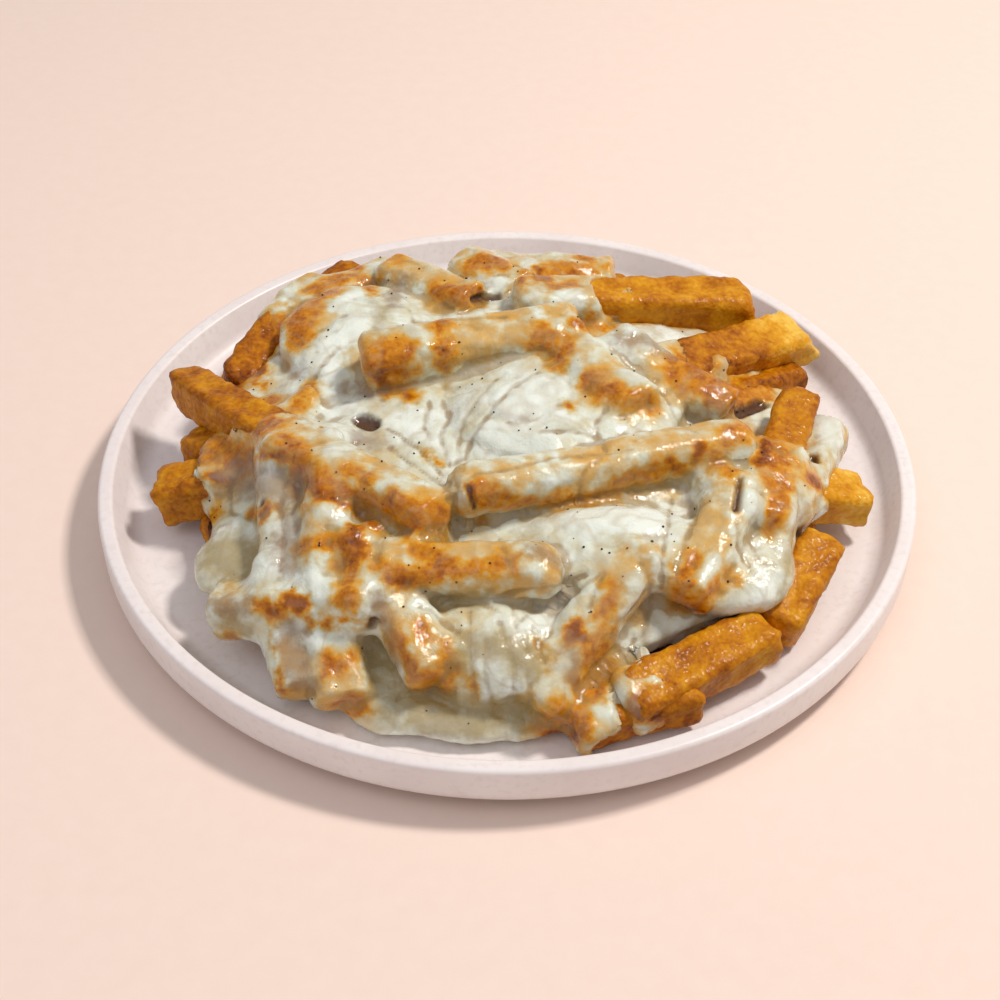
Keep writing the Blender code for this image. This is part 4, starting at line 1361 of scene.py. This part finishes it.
def melted_cheese():
    material, tree, shader = new_material(
        "melted_cheese", IOR=1.3, Coat_Weight=0.5, Coat_Roughness=0.06,
        Subsurface_Weight=0.2, Subsurface_Radius=(1.0, 0.8, 0.5), Subsurface_Scale=1.4 * MM,
    )
    place = add(tree, "TexCoord").outputs["Object"]
    cloud = add(tree, "TexNoise", {"Vector": place, "Scale": 1 / (15 * MM), "Detail": 3})
    fray = add(tree, "TexNoise", {"Vector": place, "Scale": 1 / (5 * MM), "Detail": 3, "Roughness": 0.5})
    mottle = add(tree, "TexNoise", {"Vector": place, "Scale": 1 / (5.5 * MM), "Detail": 5, "Distortion": 0.6})
    grain = add(tree, "TexNoise", {"Vector": place, "Scale": 1 / (1.3 * MM), "Detail": 4})
    wide_fray = add(tree, "MapRange", {
        "Value": fray.outputs["Fac"], **NOISE_SPAN, "To Min": -2.0, "To Max": 2.0,
    }).outputs[0]
    film_fray = add(tree, "MapRange", {
        "Value": fray.outputs["Fac"], **NOISE_SPAN, "To Min": -0.9, "To Max": 0.9,
    }).outputs[0]
    fine_fray = add(tree, "MapRange", {
        "Value": fray.outputs["Fac"], **NOISE_SPAN, "To Min": -0.5, "To Max": 0.5,
    }).outputs[0]

    clouds = add(tree, "MapRange", {
        "Value": cloud.outputs["Fac"], **NOISE_SPAN, "To Min": 0.68, "To Max": 0.98,
    }).outputs[0]
    spots = add(tree, "MapRange", {
        "Value": mottle.outputs["Fac"], **NOISE_SPAN, "To Min": -0.12, "To Max": 0.12,
    }).outputs[0]
    milk = add(tree, "Math", {0: clouds, 1: spots}, operation="ADD").outputs[0]
    strand = add(tree, "TexNoise", {"Vector": place, "Scale": 1 / (15 * MM), "Detail": 1, "Distortion": 1.2})
    off_line = add(tree, "Math", {0: strand.outputs["Fac"], 1: 0.5}, operation="SUBTRACT")
    off_line = add(tree, "Math", {0: off_line.outputs[0]}, operation="ABSOLUTE")
    line = add(
        tree, "MapRange", {"Value": off_line.outputs[0], "From Min": 0.1, "From Max": 0.0},
        interpolation_type="SMOOTHSTEP",
    )
    line = add(tree, "Math", {0: line.outputs[0], 1: mottle.outputs["Fac"]}, operation="MULTIPLY")
    depth = add(tree, "MapRange", {
        "Value": mottle.outputs["Fac"], **NOISE_SPAN, "To Min": 0.19, "To Max": 0.37,
    }).outputs[0]
    # Each layer: what its distance is, its fray, the distances in millimetres where it begins and
    # where it is full, its greatest share, and the milk value that it draws towards
    layers = [
        ("film", film_fray, 1.8, -0.3, 0.85, 0.4),
        ("tan", wide_fray, 3.4, -2.0, 0.85, 0.5),
        ("curd", wide_fray, 2.4, -1.6, 0.85, 0.97),
        ("amber", wide_fray, 6.4, -0.6, 0.6, 0.48),
        ("amber", wide_fray, 3.0, -2.0, 1.0, depth),
        ("rust", wide_fray, 3.2, -1.0, 0.5, 0.25),
        ("rust", wide_fray, 1.4, -2.4, 0.85, 0.12),
    ]
    for attribute, edge, outer, inner, most, target in layers:
        share = finish_share(tree, attribute, edge, outer, inner)
        share = add(tree, "Math", {0: share, 1: most}, operation="MULTIPLY").outputs[0]
        milk = add(tree, "Mix", {0: share, 2: milk, 3: target}, data_type="FLOAT").outputs[0]
    # A fine lighter and darker speckle in the gravy: partly its own grain, partly painted glints
    gravy_share = finish_share(tree, "amber", wide_fray, 1.0, -1.0)
    speck = add(tree, "MapRange", {
        "Value": grain.outputs["Fac"], **NOISE_SPAN, "To Min": -0.05, "To Max": 0.05,
    }).outputs[0]
    milk = add(tree, "Math", {0: speck, 1: gravy_share, 2: milk}, operation="MULTIPLY_ADD").outputs[0]
    ramp = add(tree, "ValToRGB", {"Fac": milk}, [
        (0.0, "#3A1802"), (0.12, "#743802"), (0.22, "#AA6000"), (0.32, "#C88008"), (0.42, "#D29A34"),
        (0.52, "#D0AE70"), (0.64, "#D1C29A"), (0.76, "#D5D5BE"), (0.88, "#DEE3D6"), (1.0, "#E9EFE7"),
    ])
    colour = ramp.outputs["Color"]
    strands = add(tree, "Math", {0: line.outputs[0], 1: 0.55}, operation="MULTIPLY").outputs[0]
    colour = add(tree, "Mix", {0: strands, 6: colour, 7: linear("#B09A74")}, data_type="RGBA").outputs[2]
    # The same, with a tint for the milk value
    overlays = [
        # painted shade: darker where the skin lies deep in a crease
        ("crease_shade", fine_fray, 1.0, -1.4, 0.6, "#96763F"),
        # partly painted shade along the fold grooves, partly brown strands
        ("fold", fine_fray, 1.3, 0.0, 0.42, "#927A54"),
        ("whey", wide_fray, 2.0, -4.0, 0.75, "#A08C5C"),
        # painted shade: the mauve-grey over shaded hollows
        ("painted_shade", wide_fray, 2.0, -4.0, 0.66, "#8E7560"),
        # painted shade: dark brown in the gaps
        ("slit", fine_fray, 1.6, -0.6, 0.92, "#4A2610"),
    ]
    for attribute, edge, outer, inner, most, tint in overlays:
        share = finish_share(tree, attribute, edge, outer, inner)
        share = add(tree, "Math", {0: share, 1: most}, operation="MULTIPLY").outputs[0]
        colour = add(tree, "Mix", {0: share, 6: colour, 7: linear(tint)}, data_type="RGBA").outputs[2]
    tree.links.new(colour, shader.inputs["Base Color"])

    gloss = add(tree, "MapRange", {
        "Value": fray.outputs["Fac"], **NOISE_SPAN, "To Min": 0.18, "To Max": 0.36,
    })
    tree.links.new(gloss.outputs[0], shader.inputs["Roughness"])
    height = add(
        tree, "Math", {0: mottle.outputs["Fac"], 1: 1.5, 2: grain.outputs["Fac"]}, operation="MULTIPLY_ADD"
    )
    relief = add(tree, "Bump", {"Height": height.outputs[0], "Strength": 0.55, "Distance": 0.4 * MM})
    tree.links.new(relief.outputs["Normal"], shader.inputs["Normal"])
    tree.links.new(relief.outputs["Normal"], shader.inputs["Coat Normal"])
    return material


cheese.data.materials.append(melted_cheese())
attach(cheese, "root")
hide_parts("melted_cheese")

# %% [markdown]
# ## Pepper
#
# Coarse black pepper lies on the cheese, some two hundred specks from a third of a millimetre to
# almost one. Each speck is a squashed little ball with twenty faces, sunk into the skin. They are
# one joined mesh, since hundreds of objects would be slow to handle.

# %% Pepper specks
PEPPER_COUNT = 240
PEPPER_RADIUS = (0.16 * MM, 0.42 * MM)
PEPPER_SINK = 0.35
LEAST_UPWARD = 0.3
LARGEST_FACE = 4 * MM * MM


def make_pepper():
    draw = random.Random(SEED + 7)
    mesh = cheese.data
    faces = [f for f in mesh.polygons if f.normal.z > LEAST_UPWARD and f.area < LARGEST_FACE]
    bm = bmesh.new()
    for face in draw.sample(faces, PEPPER_COUNT):
        radius = draw.uniform(*PEPPER_RADIUS)
        place = face.center + face.normal * radius * PEPPER_SINK
        turned = Matrix.Rotation(draw.uniform(0, math.tau), 4, Vector((draw.random(), draw.random(), 1)))
        flat = Matrix.Diagonal((draw.uniform(0.7, 1.3), 1, draw.uniform(0.6, 1), 1))
        bmesh.ops.create_icosphere(
            bm, subdivisions=1, radius=radius, matrix=Matrix.Translation(place) @ turned @ flat
        )
    return object_from("black_pepper", bm, smooth=False)


def black_pepper():
    material, tree, shader = new_material("cracked_pepper", IOR=1.5, Roughness=0.6)
    place = add(tree, "TexCoord").outputs["Object"]
    husk = add(tree, "TexNoise", {"Vector": place, "Scale": 1 / (0.8 * MM), "Detail": 3})
    tone = add(
        tree, "Mix", {0: husk.outputs["Fac"], 6: linear("#17110D"), 7: linear("#54402C")},
        data_type="RGBA",
    )
    tree.links.new(tone.outputs[2], shader.inputs["Base Color"])
    return material


pepper = make_pepper()
pepper.data.materials.append(black_pepper())
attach(pepper, "root")
print("pepper faces", len(pepper.data.polygons))

# %% [markdown]
# ## Floor and light
#
# A plain pale floor, and the light of a small studio: one lamp high on the right and a little
# behind, small enough for a clear shadow, a soft wide one that only lifts the shadows and puts a
# sheen on the cheese, and a dim even light from all round. The picture is shown without a film
# curve, which keeps the amber as warm as its own colour.

# %% Floor
FLOOR_SIZE = 4


def make_floor():
    bm = bmesh.new()
    bmesh.ops.create_grid(bm, x_segments=1, y_segments=1, size=FLOOR_SIZE / 2)
    floor = object_from("floor", bm, smooth=False)
    material, tree, shader = new_material("matt_paper", Roughness=0.9)
    place = add(tree, "TexCoord").outputs["Object"]
    fibre = add(tree, "TexNoise", {"Vector": place, "Scale": 1 / (6 * MM), "Detail": 4})
    tone = add(
        tree, "Mix", {0: fibre.outputs["Fac"], 6: linear("#F0DCD0"), 7: linear("#ECD6C9")},
        data_type="RGBA",
    )
    tree.links.new(tone.outputs[2], shader.inputs["Base Color"])
    floor.data.materials.append(material)
    return floor


make_floor()

# %% Lights
KEY_WAY = Vector((0.50, 0.15, 0.85)).normalized()
KEY_DISTANCE = 1.4
KEY_SIZE = 0.2
KEY_POWER = 14.5
FILL_PLACE = Vector((-0.5, -0.5, 1.1))
FILL_SIZE = 1.0
FILL_POWER = 3
WORLD_STRENGTH = 0.44


def area_light(name, place, size, power, colour):
    data = bpy.data.lights.new(name, "AREA")
    data.size = size
    data.energy = power
    data.color = linear(colour)[:3]
    lamp = bpy.data.objects.new(name, data)
    lamp.location = place
    lamp.rotation_euler = place.to_track_quat("Z", "Y").to_euler()
    bpy.context.scene.collection.objects.link(lamp)


area_light("key_light", KEY_WAY * KEY_DISTANCE, KEY_SIZE, KEY_POWER, "#FFF8F0")
area_light("fill_light", FILL_PLACE, FILL_SIZE, FILL_POWER, "#F4F6FF")
world = bpy.data.worlds.new("studio")
world.use_nodes = True
world.node_tree.nodes["Background"].inputs["Color"].default_value = linear("#F6F2F2")
world.node_tree.nodes["Background"].inputs["Strength"].default_value = WORLD_STRENGTH
bpy.context.scene.world = world
bpy.context.scene.view_settings.view_transform = "Standard"

# %% [markdown]
# ## The end
#
# Last, the script prints that it has run to its end.

# %% Finish
print("finished")
